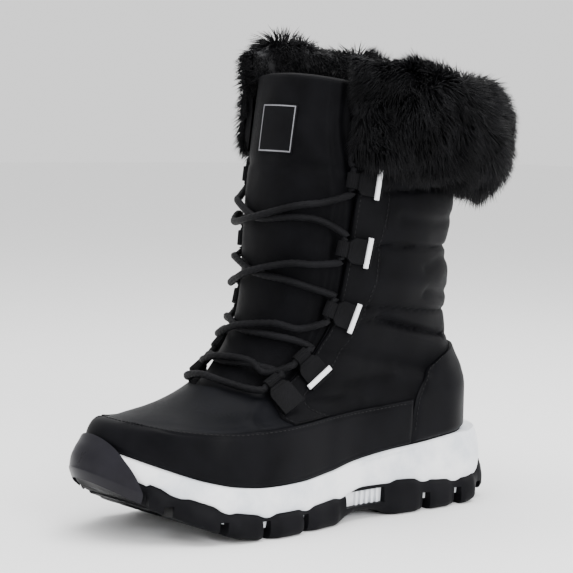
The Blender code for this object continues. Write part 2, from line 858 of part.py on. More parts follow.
def closed_band(name, levels, material, low=GAP, high=GAP + OVERLAY):
    """A layer all round the upper between the first and the last level."""
    columns = list(range(HEEL_COLUMN + 1)) + list(range(-HEEL_COLUMN + 1, 0))
    count = len(columns)
    rows = [[grid_point(column, level, high) for column in columns] for level in levels]
    rows += [[grid_point(column, level, low) for column in columns] for level in reversed(levels)]
    points = [p for row in rows for p in row]
    faces = []
    for r in range(len(rows)):
        s = (r + 1) % len(rows)
        for c in range(count):
            d = (c + 1) % count
            low, high = (r, s) if r < len(levels) else (s, r)
            faces += cell(low * count + c, low * count + d, high * count + d, high * count + c,
                          c < HEEL_COLUMN)
    return new_object(name, points, faces, material)


def counter_outline(grow):
    """Side view of the heel counter: its front seam curves up to the back of the heel."""
    seam = ((0.272, 0.00), (0.268, 0.20), (0.262, 0.26), (0.245, 0.30), (0.210, 0.34),
            (0.155, 0.365), (0.090, 0.378))
    points = [(SOLE_LENGTH * (share - 0.5) + grow, SHAFT_HEIGHT * up + grow) for share, up in seam]
    far = -SOLE_LENGTH * 0.6
    return [(far, 0.0)] + points + [(far, points[-1][1])]


def make_mudguard(materials):
    """Smooth band round the foot, from one seam of the heel counter to the other."""
    levels = (RIM_LEVEL + 0.006,) + tuple(level for level in UPPER_LEVELS
                                          if RIM_LEVEL < level <= BAND_LEVEL)
    item = closed_band("mudguard", levels, materials["band"])
    boolean(item, prism(counter_outline(GAP), "y", -BALL_WIDTH, BALL_WIDTH), "DIFFERENCE")
    return item


def make_counter(materials):
    levels = (RIM_LEVEL + 0.006,) + tuple(level for level in UPPER_LEVELS
                                          if RIM_LEVEL < level <= VAMP_LEVEL)
    first = THROAT_COLUMNS + 4
    columns = list(range(first, HEEL_COLUMN + 1)) + list(range(-HEEL_COLUMN + 1, -first + 1))
    item = overlay("heel_counter", columns, levels, materials["band"])
    boolean(item, prism(counter_outline(0.0), "y", -BALL_WIDTH, BALL_WIDTH), "INTERSECT")
    return item


def bumper_outline():
    """Side view of the toe bumper: its back edge drops over the foam to the tread."""
    edge = ((0.936, 0.00), (0.940, 0.45), (0.944, 0.54), (0.950, 0.64), (0.958, 0.75),
            (0.968, 0.86), (0.981, 0.95), (0.995, 1.00))
    points = [(SOLE_LENGTH * (share - 0.5), BUMPER_HEIGHT * up) for share, up in edge]
    far = SOLE_LENGTH * 0.6
    return points + [(far, BUMPER_HEIGHT), (far, 0.0)]


def make_bumper(materials):
    """Smooth cap round the toe, over the foam's wall and the end of the band."""
    columns = range(-4, 5)
    turns = [column_turn(column, 0) for column in columns]
    over_band = 2 * GAP + OVERLAY

    def inner(turn):
        low = rim_height(turn)
        high = upper_surface(turn, RIM_LEVEL).z
        floor = rocker(share_of(turn))
        return [sole_point(turn, CORNER_INSET - GAP, floor + CORNER_UP + GAP),
                sole_point(turn, -GAP, side_height(turn)),
                sole_point(turn, BELLY_INSET / 2, low + (high - low) * 0.3),
                sole_point(turn, LIP_INSET - 0.4, low + (high - low) * 0.75),
                sole_point(turn, TOE_TOP_INSET + 0.7, high + GAP),
                upper_point(turn, RIM_LEVEL + 0.025, over_band),
                upper_point(turn, 0.13, over_band),
                upper_point(turn, 0.185, over_band)]

    def outer(turn):
        floor = rocker(share_of(turn))
        high = upper_surface(turn, RIM_LEVEL).z
        wall = BUMPER_WALL
        return [sole_point(turn, CORNER_INSET - GAP - 0.4 * wall, floor + TOE_EDGE_UP),
                sole_point(turn, -GAP - 0.9 * wall, floor + TOE_BELLY_UP),
                sole_point(turn, -wall, floor + (high - floor) * 0.45),
                sole_point(turn, BELLY_INSET - wall, floor + (high - floor) * 0.75),
                sole_point(turn, TOE_TOP_INSET - wall, high),
                upper_point(turn, RIM_LEVEL + 0.025, over_band + 1.3 * wall),
                upper_point(turn, 0.13, over_band + 0.9 * wall),
                upper_point(turn, 0.19, over_band + 0.6 * wall)]

    item = shell("toe_bumper", [outer(turn) for turn in turns], [inner(turn) for turn in turns],
                 range(8), materials["bumper"])
    boolean(item, prism(bumper_outline(), "y", -BALL_WIDTH, BALL_WIDTH), "INTERSECT")
    return item


def loop_level(row):
    """Level of a row of loops: the top one keeps its distance under the fur's lower edge."""
    if row > 0:
        return LOWER_LOOP_LEVELS[row - 1]
    turn = UPPER.at("throat", COLLAR_LEVEL)
    return level_at_height(turn, cuff_bottom(turn) - LOOP_UNDER_FUR)


def loop_frame(row, side):
    """Middle of a lace loop at the throat's edge, with its three directions."""
    level = loop_level(row)
    turn = side * UPPER.at("throat", level)
    base = upper_point(turn, level, GAP + OVERLAY)
    above = upper_point(side * UPPER.at("throat", level + 0.02), level + 0.02, GAP + OVERLAY)
    below = upper_point(side * UPPER.at("throat", level - 0.02), level - 0.02, GAP + OVERLAY)
    along = (above - below).normalized()
    behind = upper_point(turn + side * 0.03, level, GAP + OVERLAY)
    forwards = base - behind
    forwards -= along * forwards.dot(along)
    forwards.normalize()
    out = along.cross(forwards).normalized()
    if out.dot(upper_point(turn, level, LOOP_WIDTH) - base) < 0:
        out.negate()
    lean = math.radians(LOOP_LEANS[row])
    base += out * LOOP_SEATS[row] + forwards * (LOOP_WIDTH / 2 * math.sin(lean))
    leaned = along * math.cos(lean) - forwards * math.sin(lean)
    return base, leaned, forwards * math.cos(lean) + along * math.sin(lean), out


def tunnel_centre(row, side):
    base, along, forwards, out = loop_frame(row, side)
    return base + forwards * LOOP_REACH + out * LOOP_TUNNEL_UP


def make_loop(row, side, materials):
    """Webbing strap folded round a tunnel for the lace, one closed solid with its bore."""
    base, along, forwards, out = loop_frame(row, side)
    radius = LOOP_BORE / 2 + LOOP_WALL
    back = -TAB_SETBACK - TAB_WIDTH
    drop = LOOP_DROP
    rim = [(back, LOOP_LIFT - drop), (back / 2, LOOP_LIFT - drop / 4), (0.8, LOOP_LIFT)]
    bore = []
    for i in range(LOOP_SIDES + 1):
        angle = math.radians(-140 + 280 * i / LOOP_SIDES)
        rim.append((LOOP_REACH + radius * math.cos(angle), LOOP_TUNNEL_UP + radius * math.sin(angle)))
    rim += [(0.0, LOOP_LIFT + LOOP_STRAP), (back / 2, LOOP_LIFT + LOOP_STRAP - drop / 4),
            (back, LOOP_LIFT + LOOP_STRAP - drop)]
    for i in range(LOOP_SIDES):
        angle = 2 * math.pi * i / LOOP_SIDES
        bore.append((LOOP_REACH + LOOP_BORE / 2 * math.cos(angle),
                     LOOP_TUNNEL_UP + LOOP_BORE / 2 * math.sin(angle)))

    def placed(outline, way, wide, narrow):
        """An end of the loop: wide over the facing, narrow round the lace."""
        return [base + forwards * a + out * b + along * (way / 2 * (narrow if a > LOOP_WALL else wide))
                for a, b in outline]

    name = "lace_loop_%s_%d" % (SIDE_NAMES[side], row + 1)
    item = solid_prism(name, placed(rim, -1, LOOP_WIDTH, LOOP_NECK), placed(rim, 1, LOOP_WIDTH, LOOP_NECK),
                       materials["facing"])
    long_bore = 2 * LOOP_WIDTH
    cutter = solid_prism("cutter", placed(bore, -1, long_bore, long_bore),
                         placed(bore, 1, long_bore, long_bore), materials["facing"])
    cutter.hide_render = True
    cutter.display_type = "WIRE"
    boolean(item, cutter, "DIFFERENCE")
    return item


def solid_prism(name, low, high, material):
    """A solid between two equal outlines."""
    count = len(low)
    faces = [tuple(range(count)), tuple(reversed(range(count, 2 * count)))]
    for i in range(count):
        j = (i + 1) % count
        faces.append((i, count + i, count + j, j))
    return new_object(name, low + high, faces, material)


def make_tab(row, side, materials):
    """White bar sewn across the strap of a loop."""
    base, along, forwards, out = loop_frame(row, side)
    bottom = LOOP_LIFT + LOOP_STRAP + GAP - LOOP_DROP * 0.3
    outline = [(-TAB_SETBACK - TAB_WIDTH / 2, bottom - LOOP_DROP * 0.25), (-TAB_SETBACK + TAB_WIDTH / 2, bottom),
               (-TAB_SETBACK + TAB_WIDTH / 2, bottom + TAB_THICKNESS),
               (-TAB_SETBACK - TAB_WIDTH / 2, bottom + TAB_THICKNESS - LOOP_DROP * 0.25)]
    half = TAB_LENGTH / 2
    ends = [[base + forwards * a + out * b + along * shift for a, b in outline] for shift in (-half, half)]
    name = "white_tab_%s_%d" % (SIDE_NAMES[side], row + 1)
    return solid_prism(name, ends[0], ends[1], materials["tab"])


def smooth_path(stops):
    """A smooth curve through its stops, with steps between each two."""
    first, last = stops[0] * 2 - stops[1], stops[-1] * 2 - stops[-2]
    around = [first] + stops + [last]
    points = []
    for i in range(1, len(around) - 2):
        p, q, r, s = around[i - 1:i + 3]
        for k in range(LACE_STEPS):
            t = k / LACE_STEPS
            points.append((q * 2 + (r - p) * t + (p * 2 - q * 5 + r * 4 - s) * t ** 2
                           + (q * 3 - p - r * 3 + s) * t ** 3) / 2)
    return points + [stops[-1]]


def tube(name, path, radius, material):
    """Round cord along a path, closed at both ends."""
    rings = []
    for i, point in enumerate(path):
        ahead = path[min(i + 1, len(path) - 1)]
        behind = path[max(i - 1, 0)]
        along = (ahead - behind).normalized()
        side = along.cross(Vector((0, 0, 1))).normalized()
        over = side.cross(along).normalized()
        rings.append([point + (side * math.cos(a) + over * math.sin(a)) * radius
                      for a in (2 * math.pi * k / LACE_SIDES for k in range(LACE_SIDES))])
    points = [p for ring in rings for p in ring]
    faces = [tuple(range(LACE_SIDES)), tuple(reversed(range(len(points) - LACE_SIDES, len(points))))]
    for r in range(len(rings) - 1):
        for k in range(LACE_SIDES):
            n = (k + 1) % LACE_SIDES
            faces.append((r * LACE_SIDES + k, (r + 1) * LACE_SIDES + k,
                          (r + 1) * LACE_SIDES + n, r * LACE_SIDES + n))
    return new_object(name, points, faces, material)


def tunnel_end(row, side, up):
    """Just outside one end of a loop's tunnel."""
    along = loop_frame(row, side)[1]
    return tunnel_centre(row, side) + along * (up * (LOOP_NECK / 2 + LACE_CLEAR))


def lace_point(row, place, share, lift):
    """A point of the lace under a row, at a share of the turn to the throat's edge."""
    level = loop_level(row) + (loop_level(row + 1) - loop_level(row)) * share
    return upper_point(UPPER.at("throat", level) * place, level, LACE_PROUD + lift)


def crossing_path(row, side):
    """Path of the strand from a loop on one side to the next row's loop on the other."""
    from_near, from_half, middle, to_half, to_near = LACE_ROUTE[row]
    if side > 0:
        to_half += LACE_SPREAD
    lift = LACE_OVER if side > 0 else 0.0
    stops = ((side * LACE_NEAR, from_near, 0.0), (side * LACE_HALF, from_half, 0.0), (0.0, middle, lift),
             (-side * LACE_HALF, to_half, 0.0), (-side * LACE_NEAR, to_near, 0.0))
    points = [lace_point(row, *stop) for stop in stops]
    return smooth_path([tunnel_end(row, side, -1)] + points + [tunnel_end(row + 1, -side, 1)])


def make_laces(materials):
    """Crossings between neighbouring rows, and the bar under the lowest row."""
    for row in range(ROWS - 1):
        name = "lace_cross_%d" % (row + 1)
        strands = [tube(name, crossing_path(row, side), LACE_DIAMETER / 2, materials["lace"])
                   for side in SIDE_NAMES]
        boolean(strands[0], strands[1], "UNION")
    middle = upper_point(0, VAMP_LEVEL, LACE_PROUD + LACE_DIAMETER)
    beside = [upper_point(side * 0.5 * UPPER.at("throat", VAMP_LEVEL), VAMP_LEVEL, LACE_PROUD + LACE_DIAMETER)
              for side in SIDE_NAMES]
    stops = [tunnel_end(ROWS - 1, 1, -1), beside[0], middle, beside[1], tunnel_end(ROWS - 1, -1, -1)]
    tube("lace_bar", smooth_path(stops), LACE_DIAMETER / 2, materials["lace"])


def facing_outline():
    """Side view of the facing: along the throat's edge, then down and back to the band."""
    column = THROAT_COLUMNS
    back = []
    for level in (0.57, 0.61, 0.66, 0.72, 0.80, 0.90, 1.00):
        point = grid_point(column, level, 0.0)
        back.append((point.x - FACING_WIDTH, point.z))
    corner = grid_point(column, VAMP_LEVEL, 0.0)
    low_back = (corner.x - 1.25 * FACING_WIDTH, corner.z - 0.8 * FACING_WIDTH)
    low_front = (corner.x - 0.2 * FACING_WIDTH, corner.z - 1.1 * FACING_WIDTH)
    far = SOLE_LENGTH * 0.4
    return [low_back] + back + [(far, back[-1][1]), (far, corner.z + 0.3 * FACING_WIDTH),
                                (corner.x + STITCH_REACH, corner.z - GAP), low_front]


def make_facings(materials):
    """Overlays along both edges of the throat, down to the band."""
    levels = tuple(level for level in UPPER_LEVELS if BAND_LEVEL < level < 0.9) + (FACING_TOP,)
    for side in SIDE_NAMES:
        columns = [side * (THROAT_COLUMNS + i) for i in range(6)]
        item = overlay("facing_" + SIDE_NAMES[side], columns, levels, materials["facing"],
                       high=GAP + OVERLAY * 0.8)
        boolean(item, prism(facing_outline(), "y", -BALL_WIDTH, BALL_WIDTH), "INTERSECT")


def tongue_half(level):
    """Half width of the tongue as a turn: tucked under the facings, then free at the top."""
    tuck = TONGUE_TUCK / (math.pi * BALL_WIDTH * 0.5)
    free = min(1.0, max(0.0, (level - 0.84) / 0.12))
    return UPPER.at("throat", level) + tuck * (1 - 1.5 * free)


def make_tongue(materials):
    """Padded tongue with its gusset, inside the throat and up past the collar."""
    levels = (0.42, 0.47, 0.52, 0.58, 0.65, 0.73, 0.81, 0.89, 0.96, 1.03, 1.07)
    steps = 6
    outer_offset = -UPPER_WALL - TONGUE_CLEARANCE

    def row(level, offset):
        return [upper_point(tongue_half(level) * i / steps, level, offset)
                for i in range(-steps, steps + 1)]

    outer = [row(level, outer_offset) for level in levels]
    inner = [row(level, outer_offset - TONGUE_THICKNESS) for level in levels]
    return shell("tongue", outer, inner, range(-steps, steps + 1), materials["nylon"])


def make_label(materials):
    """Plain framed patch on the tongue."""
    steps = 3
    bottom, top = 0.93, 1.005
    half = LABEL_WIDTH / 2 / (math.pi * BALL_WIDTH * 0.5)
    base = -UPPER_WALL - TONGUE_CLEARANCE + 3 * GAP
    rows = []
    for offset in (base + LABEL_THICKNESS, base):
        rows.append([[upper_point(half * (2 * i / steps - 1) + 0.02, level, offset)
                      for i in range(steps + 1)] for level in (bottom, (bottom + top) / 2, top)])
    return shell("tongue_label", rows[0], rows[1], range(steps + 1), materials["label"])


def cuff_bottom(turn):
    """Lower edge of the fur collar: as far under the collar's edge as its height asks."""
    past = (abs(turn) - UPPER.at("throat", COLLAR_LEVEL)) / 0.30
    return upper_surface(turn, COLLAR_LEVEL).z - FUR_BELOW * (0.82 + 0.18 * min(1.0, max(0.0, past)))


def level_where(turn, through, upwards):
    """Level at which the upper's outer face passes a plane that faces upwards."""
    low, high = VAMP_LEVEL, COLLAR_LEVEL
    for _ in range(24):
        middle = (low + high) / 2
        if (upper_surface(turn, middle) - through).dot(upwards) < 0:
            low = middle
        else:
            high = middle
    return (low + high) / 2


def level_at_height(turn, height):
    """Level of the upper whose outer face has this height at this turn."""
    return level_where(turn, Vector((0, 0, height)), Vector((0, 0, 1)))


# The fur stands higher on the inner side of the leg; rise is a share of FUR_HEIGHT
FUR_RISE = Table("turn rise", (
    (-1.00, 0.00),
    (-0.85, 0.12),
    (-0.60, 0.28),
    (-0.45, 0.23),
    (-0.32, 0.09),
    (0.30, 0.00),
    (1.00, 0.00),
))

# Section of the fur collar: out is a share of FUR_DEPTH, up a share of FUR_HEIGHT
FUR_SECTION = Table("step out up", (
    (0, 0.10, 0.00),
    (1, 0.50, -0.06),
    (2, 0.84, 0.03),
    (3, 1.00, 0.20),
    (4, 1.03, 0.42),
    (5, 0.95, 0.64),
    (6, 0.74, 0.84),
    (7, 0.40, 0.97),
    (8, 0.02, 1.00),
    (9, -0.26, 0.93),
    (10, -0.44, 0.78),
    (11, -0.40, 0.58),
    (12, -0.20, 0.46),
))


def fur_fullness(turn):
    """Share of the full depth: the fur thins towards the throat."""
    past = (abs(turn) - UPPER.at("throat", COLLAR_LEVEL)) / 0.30
    return FUR_THIN + (1 - FUR_THIN) * min(1.0, max(0.0, past)) ** 0.6


def fur_section(column):
    """Points of the collar's section at one column of the upper."""
    turn = column_turn(column, COLLAR_LEVEL)
    base = cuff_bottom(turn)
    top_point = upper_point(turn, COLLAR_LEVEL)
    outwards = upper_point(turn, COLLAR_LEVEL, 1.0) - top_point
    outwards.z = 0
    outwards.normalize()
    depth = FUR_DEPTH * fur_fullness(turn)
    lift = FUR_HEIGHT * FUR_RISE.at("rise", turn) - (base - top_point.z + FUR_BELOW)
    points = []
    last_out = FUR_SECTION.rows[-1][1]
    for step, out, up in FUR_SECTION.rows:
        height = base + up * (FUR_HEIGHT + lift)
        near = upper_point(turn, level_at_height(turn, height))
        inside = (UPPER_WALL + GAP) * min(1.0, max(0.0, out / last_out))
        point = near + outwards * (out * depth - inside)
        point.z = height
        points.append(point)
    return points


def wall_points(column):
    """Where the collar meets the wall inside, over its edge and outside, down to its base."""
    turn = column_turn(column, COLLAR_LEVEL)
    points = []
    base = level_at_height(turn, cuff_bottom(turn))
    for level, offset in ((UPPER_LEVELS[-2], -UPPER_WALL - GAP), (COLLAR_LEVEL, -UPPER_WALL - GAP),
                          (COLLAR_LEVEL, GAP), (UPPER_LEVELS[-2], GAP), (base, GAP)):
        point = grid_point(column, level, offset)
        if level == COLLAR_LEVEL:
            point.z += 2 * GAP
        points.append(point)
    return points


def make_fur(materials):
    """Deep fur cuff, split at the throat, hugging the collar's edge, with its locks."""
    columns = list(range(THROAT_COLUMNS, HEEL_COLUMN + 1)) + list(range(-HEEL_COLUMN + 1, -THROAT_COLUMNS + 1))
    sections = [fur_section(column) + wall_points(column) for column in columns]
    count = len(sections[0])
    outer = len(FUR_SECTION.rows)
    points = [p for section in sections for p in section]
    faces = []
    for c in range(len(columns) - 1):
        for k in range(count):
            n = (k + 1) % count
            a, b = c * count + k, c * count + n
            e, f = (c + 1) * count + n, (c + 1) * count + k
            if k >= outer:
                faces += cell(b, e, f, a, columns[c] >= 0) if k < count - 1 else [(a, b, e, f)]
            elif 0 < k < outer - 3:
                apex = lock_tip(points[a], points[b], points[e], points[f], c, k)
                tip = len(points)
                points.append(apex)
                faces += [(a, b, tip), (b, e, tip), (e, f, tip), (f, a, tip)]
            else:
                faces.append((a, b, e, f))
    faces.append(tuple(range(count)))
    last = (len(columns) - 1) * count
    faces.append(tuple(reversed(range(last, last + count))))
    return new_object("fur_collar", points, faces, materials["fur"], flat=True)


def lock_tip(a, b, e, f, column, row):
    """Tip of a lock that grows from a cell and hangs a little down and to one side."""
    middle = (a + b + e + f) / 4
    normal = (f - a).cross(b - a)
    normal.normalize()
    sway = math.sin(2.3 * column + 1.7 * row)
    aside = (f - a).normalized() * sway * LOCK_SWAY
    length = LOCK_LENGTH * (0.75 + 0.25 * math.sin(5.1 * column + 3.3 * row))
    return middle + normal * length + aside - Vector((0, 0, LOCK_DROOP))


def clear_scene():
    for item in list(bpy.data.objects):
        bpy.data.objects.remove(item)


def centre_all():
    """Move every piece so that the middle of the whole boot's footprint is the origin."""
    corners = [vertex.co for item in bpy.data.objects for vertex in item.data.vertices]
    middle = [(min(p[i] for p in corners) + max(p[i] for p in corners)) / 2 for i in range(2)]
    for item in bpy.data.objects:
        for vertex in item.data.vertices:
            vertex.co -= Vector((*middle, 0.0))


def make_materials():
    return {
        "rubber": make_material("outsole_rubber", (0.028, 0.028, 0.030), 0.55),
        "bumper": make_material("bumper_rubber", (0.060, 0.058, 0.066), 0.45),
        "foam": make_material("midsole_foam", (0.74, 0.75, 0.78), 0.55),
        "nylon": make_material("upper_nylon", (0.012, 0.012, 0.014), 0.60),
        "band": make_material("band_leather", (0.014, 0.014, 0.016), 0.50),
        "facing": make_material("facing_fabric", (0.013, 0.013, 0.015), 0.55),
        "lining": make_material("lining_fabric", (0.010, 0.010, 0.011), 0.90),
        "fur": make_material("fur_black", (0.010, 0.010, 0.012), 0.85),
        "label": make_material("label_weave", (0.020, 0.020, 0.022), 0.60),
        "lace": make_material("lace_cord", (0.016, 0.016, 0.018), 0.70),
        "tab": make_material("tab_white", (0.80, 0.81, 0.83), 0.45),
    }


def main():
    clear_scene()
    materials = make_materials()
    make_outsole(materials)
    make_midsole(materials)
    make_insole(materials)
    make_upper(materials)
    make_mudguard(materials)
    make_counter(materials)
    make_bumper(materials)
    make_facings(materials)
    make_tongue(materials)
    make_label(materials)
    make_fur(materials)
    for side in SIDE_NAMES:
        for row in range(ROWS):
            make_loop(row, side, materials)
            if row < TABBED_ROWS:
                make_tab(row, side, materials)
    make_laces(materials)
    centre_all()


main()
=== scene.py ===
"""Looks of a left snow boot that stands empty on its sole.

The toe points to +X, the outer (lateral) side of the foot is +Y and +Z is up. Lengths are in
millimetres and are written out in metres. A turn runs round the boot from 0 at the toe to 1
at the heel, positive on the outer side and negative on the inner side.
"""
import math

import bmesh
import bpy
import numpy as np
from mathutils import Matrix, Vector


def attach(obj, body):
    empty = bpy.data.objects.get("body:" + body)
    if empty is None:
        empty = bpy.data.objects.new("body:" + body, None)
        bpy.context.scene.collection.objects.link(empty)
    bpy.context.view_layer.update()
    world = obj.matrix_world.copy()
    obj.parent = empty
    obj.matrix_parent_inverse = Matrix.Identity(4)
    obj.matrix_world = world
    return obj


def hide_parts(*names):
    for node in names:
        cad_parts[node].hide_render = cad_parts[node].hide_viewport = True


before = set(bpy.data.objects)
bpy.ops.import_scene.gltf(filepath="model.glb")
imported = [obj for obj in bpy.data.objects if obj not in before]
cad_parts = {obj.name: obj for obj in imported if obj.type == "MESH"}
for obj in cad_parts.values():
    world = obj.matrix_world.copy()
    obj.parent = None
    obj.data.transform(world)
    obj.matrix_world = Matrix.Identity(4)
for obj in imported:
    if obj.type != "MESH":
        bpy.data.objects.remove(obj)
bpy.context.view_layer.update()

MM = 0.001
SHIFT = np.array([2.137, 0.081, 0.0])

# Whole boot
SOLE_LENGTH = 285.0
BALL_WIDTH = 106.0
SHAFT_HEIGHT = 250.0

# Sole
TOE_SPRING = 32.0
HEEL_BEVEL = 14.0
HEEL_BEVEL_SHARE = 0.13
ARCH_RISE = 5.0
PLATE = 6.0
RIM_THICKNESS = 3.6
RIM_HEIGHT = 13.0
LUG_RELIEF = 2.6
NOTCH_HEIGHT = 10.8
GROOVE_WIDTH = 5.5
GROOVE_SPIKE = 24.0
GROOVE_POINT = 7.0
WAVE_HEIGHT = 46.0
WINDOW_HEIGHT = 9.0
WINDOW_DEPTH = 17.0
STRIP = 3.6
BUMPER_WALL = 2.2
BUMPER_HEIGHT = 62.0
LIP = 1.4
LIP_INSET = 2.4
RIB_COUNT = 5
RIB_WIDTH = 2.0
RIB_PITCH = 4.2
RIB_PROUD = 2.4
RIB_FIRST = 7.0
RING_COUNT = 320
SIPE_WIDTH = 1.2
SIPE_LENGTH = 18.0
SIPE_LEAN = 3.0
SIPE_AHEAD = 0.035
SIPE_ACROSS = 0.27
SIPE_LAST = 0.965
CAP_BEVEL = 0.7
GAP = 0.3

# Upper
UPPER_WALL = 3.0
PUFF = 2.6
PAD_SHARES = (0.25, 0.35, 1.0, 1.0, 0.8)
PAD_BOTTOM = 0.45
PAD_TOP = 1.02
PAD_FADE = 9.0
PAD_START = 0.44
SEAM_NAMES = ("diagonal", "ankle", "middle", "hem")
SEAM_DEPTH = 1.2
SEAM_SPREAD = 1.3
CREASE_GAIN = 1.7
OVERLAY = 1.5
PATCH_SEAT = 0.25
PATCH_EDGE = 1.6
SEAM_INSET = 2.4
SEAM_SINK = 0.35
STITCH_STEP = 3.1
STITCH_LENGTH = 2.3
STITCH_RADIUS = 0.34

# Ends of the pieces as levels of the upper
FACING_ENDS = (0.216, 0.915)
TONGUE_ENDS = (0.42, 1.075)
LABEL_ENDS = (0.93, 1.005)

# Tongue
TONGUE_TUCK = 9.0
TONGUE_HALF = 2.5
TONGUE_SEAT = 4.1
LABEL_HALF = 12.0
LABEL_CENTRE = 0.034

# Fur
FUR_DEPTH = 32.0
FUR_HEIGHT = 66.0
FUR_THIN = 0.30
FUR_THIN_INNER = 0.08
FUR_BELOW = 28.0
FUR_BLEND = 0.30
FUR_OVER = 0.07
FUR_OVER_LIFT = 2.5
FUR_COLUMNS = 150
FUR_STEPS = 64
FUR_UNDER = 0.17
FUR_HOLD = 0.935
HAIR_SEEDS = ((101, 15000), (102, 15000), (103, 15000), (104, 12500))
HAIR_LENGTH = (9.0, 13.5)
HAIR_RADIUS = (0.20, 0.38)
HAIR_BASE = 0.55
END_HAIRS = 1200

# Lacing
LACE_RADIUS = 2.1
LACE_PROUD = 1.6
LACE_CLEAR = 3.6
LOOP_WIDTH = 15.0
LOOP_NECK = 9.0
LOOP_REACH = 4.9
LOOP_STRAP = 1.7
LOOP_WALL = 1.1
LOOP_BORE = 4.6
LOOP_TUNNEL_UP = 1.5
LOOP_LIFT = 1.9
LOOP_DROP = 1.0
TAB_LENGTH = 18.0
TAB_WIDTH = 3.0
TAB_THICKNESS = 1.2
TAB_SETBACK = 11.0


class Table:
    """Rows given under named columns, read smoothly along the first column."""

    def __init__(self, names, rows):
        self.names = names.split()
        self.data = np.array(rows, float)

    def values(self, name):
        return self.data[:, self.names.index(name)]

    def at(self, name, where):
        keys, values = self.data[:, 0], self.values(name)
        width = np.diff(keys)
        rise = np.diff(values) / width
        slope = np.zeros(len(values))
        slope[0], slope[-1] = rise[0], rise[-1]
        before, after = rise[:-1], rise[1:]
        level = before * after > 0
        total = np.where(level, before + after, 1.0)
        slope[1:-1] = np.where(level, 2 * before * after / total, 0.0)
        where = np.clip(where, keys[0], keys[-1])
        i = np.clip(np.searchsorted(keys, where, side="right") - 1, 0, len(keys) - 2)
        t = (where - keys[i]) / width[i]
        return (values[i] * (1 + 2 * t) * (1 - t) ** 2 + values[i + 1] * t ** 2 * (3 - 2 * t)
                + width[i] * t * (1 - t) * (slope[i] * (1 - t) - slope[i + 1] * t))


PLAN = Table("along centre half", (
    (0.00, 0.000, 0.350), (0.12, 0.010, 0.375), (0.25, 0.020, 0.385), (0.40, 0.030, 0.375),
    (0.50, 0.040, 0.400), (0.60, 0.040, 0.455), (0.70, 0.025, 0.495), (0.80, 0.005, 0.490),
    (0.90, -0.035, 0.435), (1.00, -0.090, 0.370),
))
HEEL_ROUND = 0.13
TOE_ROUND = 0.24

SIDE = Table("along rocker rim wave", (
    (0.00, 0.00, 1.25, 1.03), (0.10, 0.00, 1.10, 0.99), (0.20, 0.00, 1.20, 0.93),
    (0.30, 0.00, 1.45, 0.88), (0.42, 0.00, 1.50, 0.78), (0.50, 0.00, 1.10, 0.69),
    (0.60, 0.00, 0.95, 0.63), (0.70, 0.00, 0.95, 0.62), (0.77, 0.07, 0.98, 0.65),
    (0.84, 0.27, 0.98, 0.73), (0.92, 0.58, 0.95, 0.89), (1.00, 1.00, 0.90, 1.09),
))

UPPER = Table("level front front_up back back_up half foot hug throat", (
    (0.00, 0.962, 0.156, 0.062, 0.125, 0.440, 1.00, 1.00, 0.250),
    (0.08, 0.970, 0.210, 0.056, 0.190, 0.450, 1.00, 1.00, 0.250),
    (0.20, 0.950, 0.250, 0.056, 0.287, 0.445, 1.00, 0.22, 0.250),
    (0.30, 0.905, 0.262, 0.064, 0.333, 0.425, 0.95, 0.28, 0.250),
    (0.40, 0.820, 0.283, 0.085, 0.379, 0.400, 0.80, 0.34, 0.250),
    (0.50, 0.731, 0.325, 0.108, 0.426, 0.395, 0.55, 0.36, 0.258),
    (0.57, 0.658, 0.403, 0.122, 0.474, 0.410, 0.30, 0.25, 0.300),
    (0.64, 0.617, 0.491, 0.131, 0.533, 0.435, 0.12, 0.10, 0.330),
    (0.72, 0.603, 0.590, 0.138, 0.605, 0.460, 0.00, 0.00, 0.348),
    (0.80, 0.598, 0.687, 0.134, 0.682, 0.475, 0.00, 0.00, 0.353),
    (0.88, 0.590, 0.788, 0.124, 0.752, 0.485, 0.00, 0.00, 0.362),
    (0.94, 0.581, 0.879, 0.118, 0.818, 0.490, 0.00, 0.00, 0.345),
    (1.00, 0.570, 0.972, 0.115, 0.886, 0.495, 0.00, 0.00, 0.325),
    (1.08, 0.558, 1.060, 0.113, 0.950, 0.495, 0.00, 0.00, 0.325),
))
OVAL_POWER = 0.86
RIM_LEVEL = 0.070
VAMP_LEVEL = 0.50
COLLAR_LEVEL = 1.00

SIDE_NAMES = {1: "lateral", -1: "medial"}
LOOP_LEVELS = (0.8973, 0.765, 0.646, 0.556, 0.505)
LOOP_SEATS = (0.0, 0.0, 0.0, 0.0, 0.8)
LOOP_LEANS = (9.0, 4.0, 2.0, 5.0, 0.0)
TABBED_ROWS = 4

# Route of the lace under each row, as shares of the way down to the next row
LACE_ROUTE = (
    (0.31, 0.39, 0.59, 0.54, 0.58), (0.25, 0.24, 0.42, 0.51, 0.63), (0.33, 0.26, 0.42, 0.48, 0.54),
    (0.36, 0.05, 0.12, 0.14, 0.22),
)
LACE_NEAR = 0.70
LACE_HALF = 0.42
LACE_SPREAD = 0.15

GROOVES = Table("middle outer outer_knee inner_knee inner", (
    (0.566, 0.596, 0.612, 0.633, 0.600), (0.664, 0.705, 0.715, 0.740, 0.702),
    (0.758, 0.800, 0.810, 0.835, 0.803), (0.860, 0.888, 0.899, 0.918, 0.900),
))
HEEL_GROOVES = Table("middle outer outer_knee inner_knee inner", (
    (0.085, 0.070, 0.060, 0.060, 0.070), (0.185, 0.154, 0.143, 0.143, 0.154),
    (0.283, 0.250, 0.240, 0.240, 0.250),
))
KNEE_OUT = 0.34
WINDOW_START = 0.352
WINDOW_END = 0.484
OVAL_ALONG = 0.428
OVAL_ACROSS = 0.047
OVAL_LENGTH = 15.0
OVAL_WIDTH = 25.0

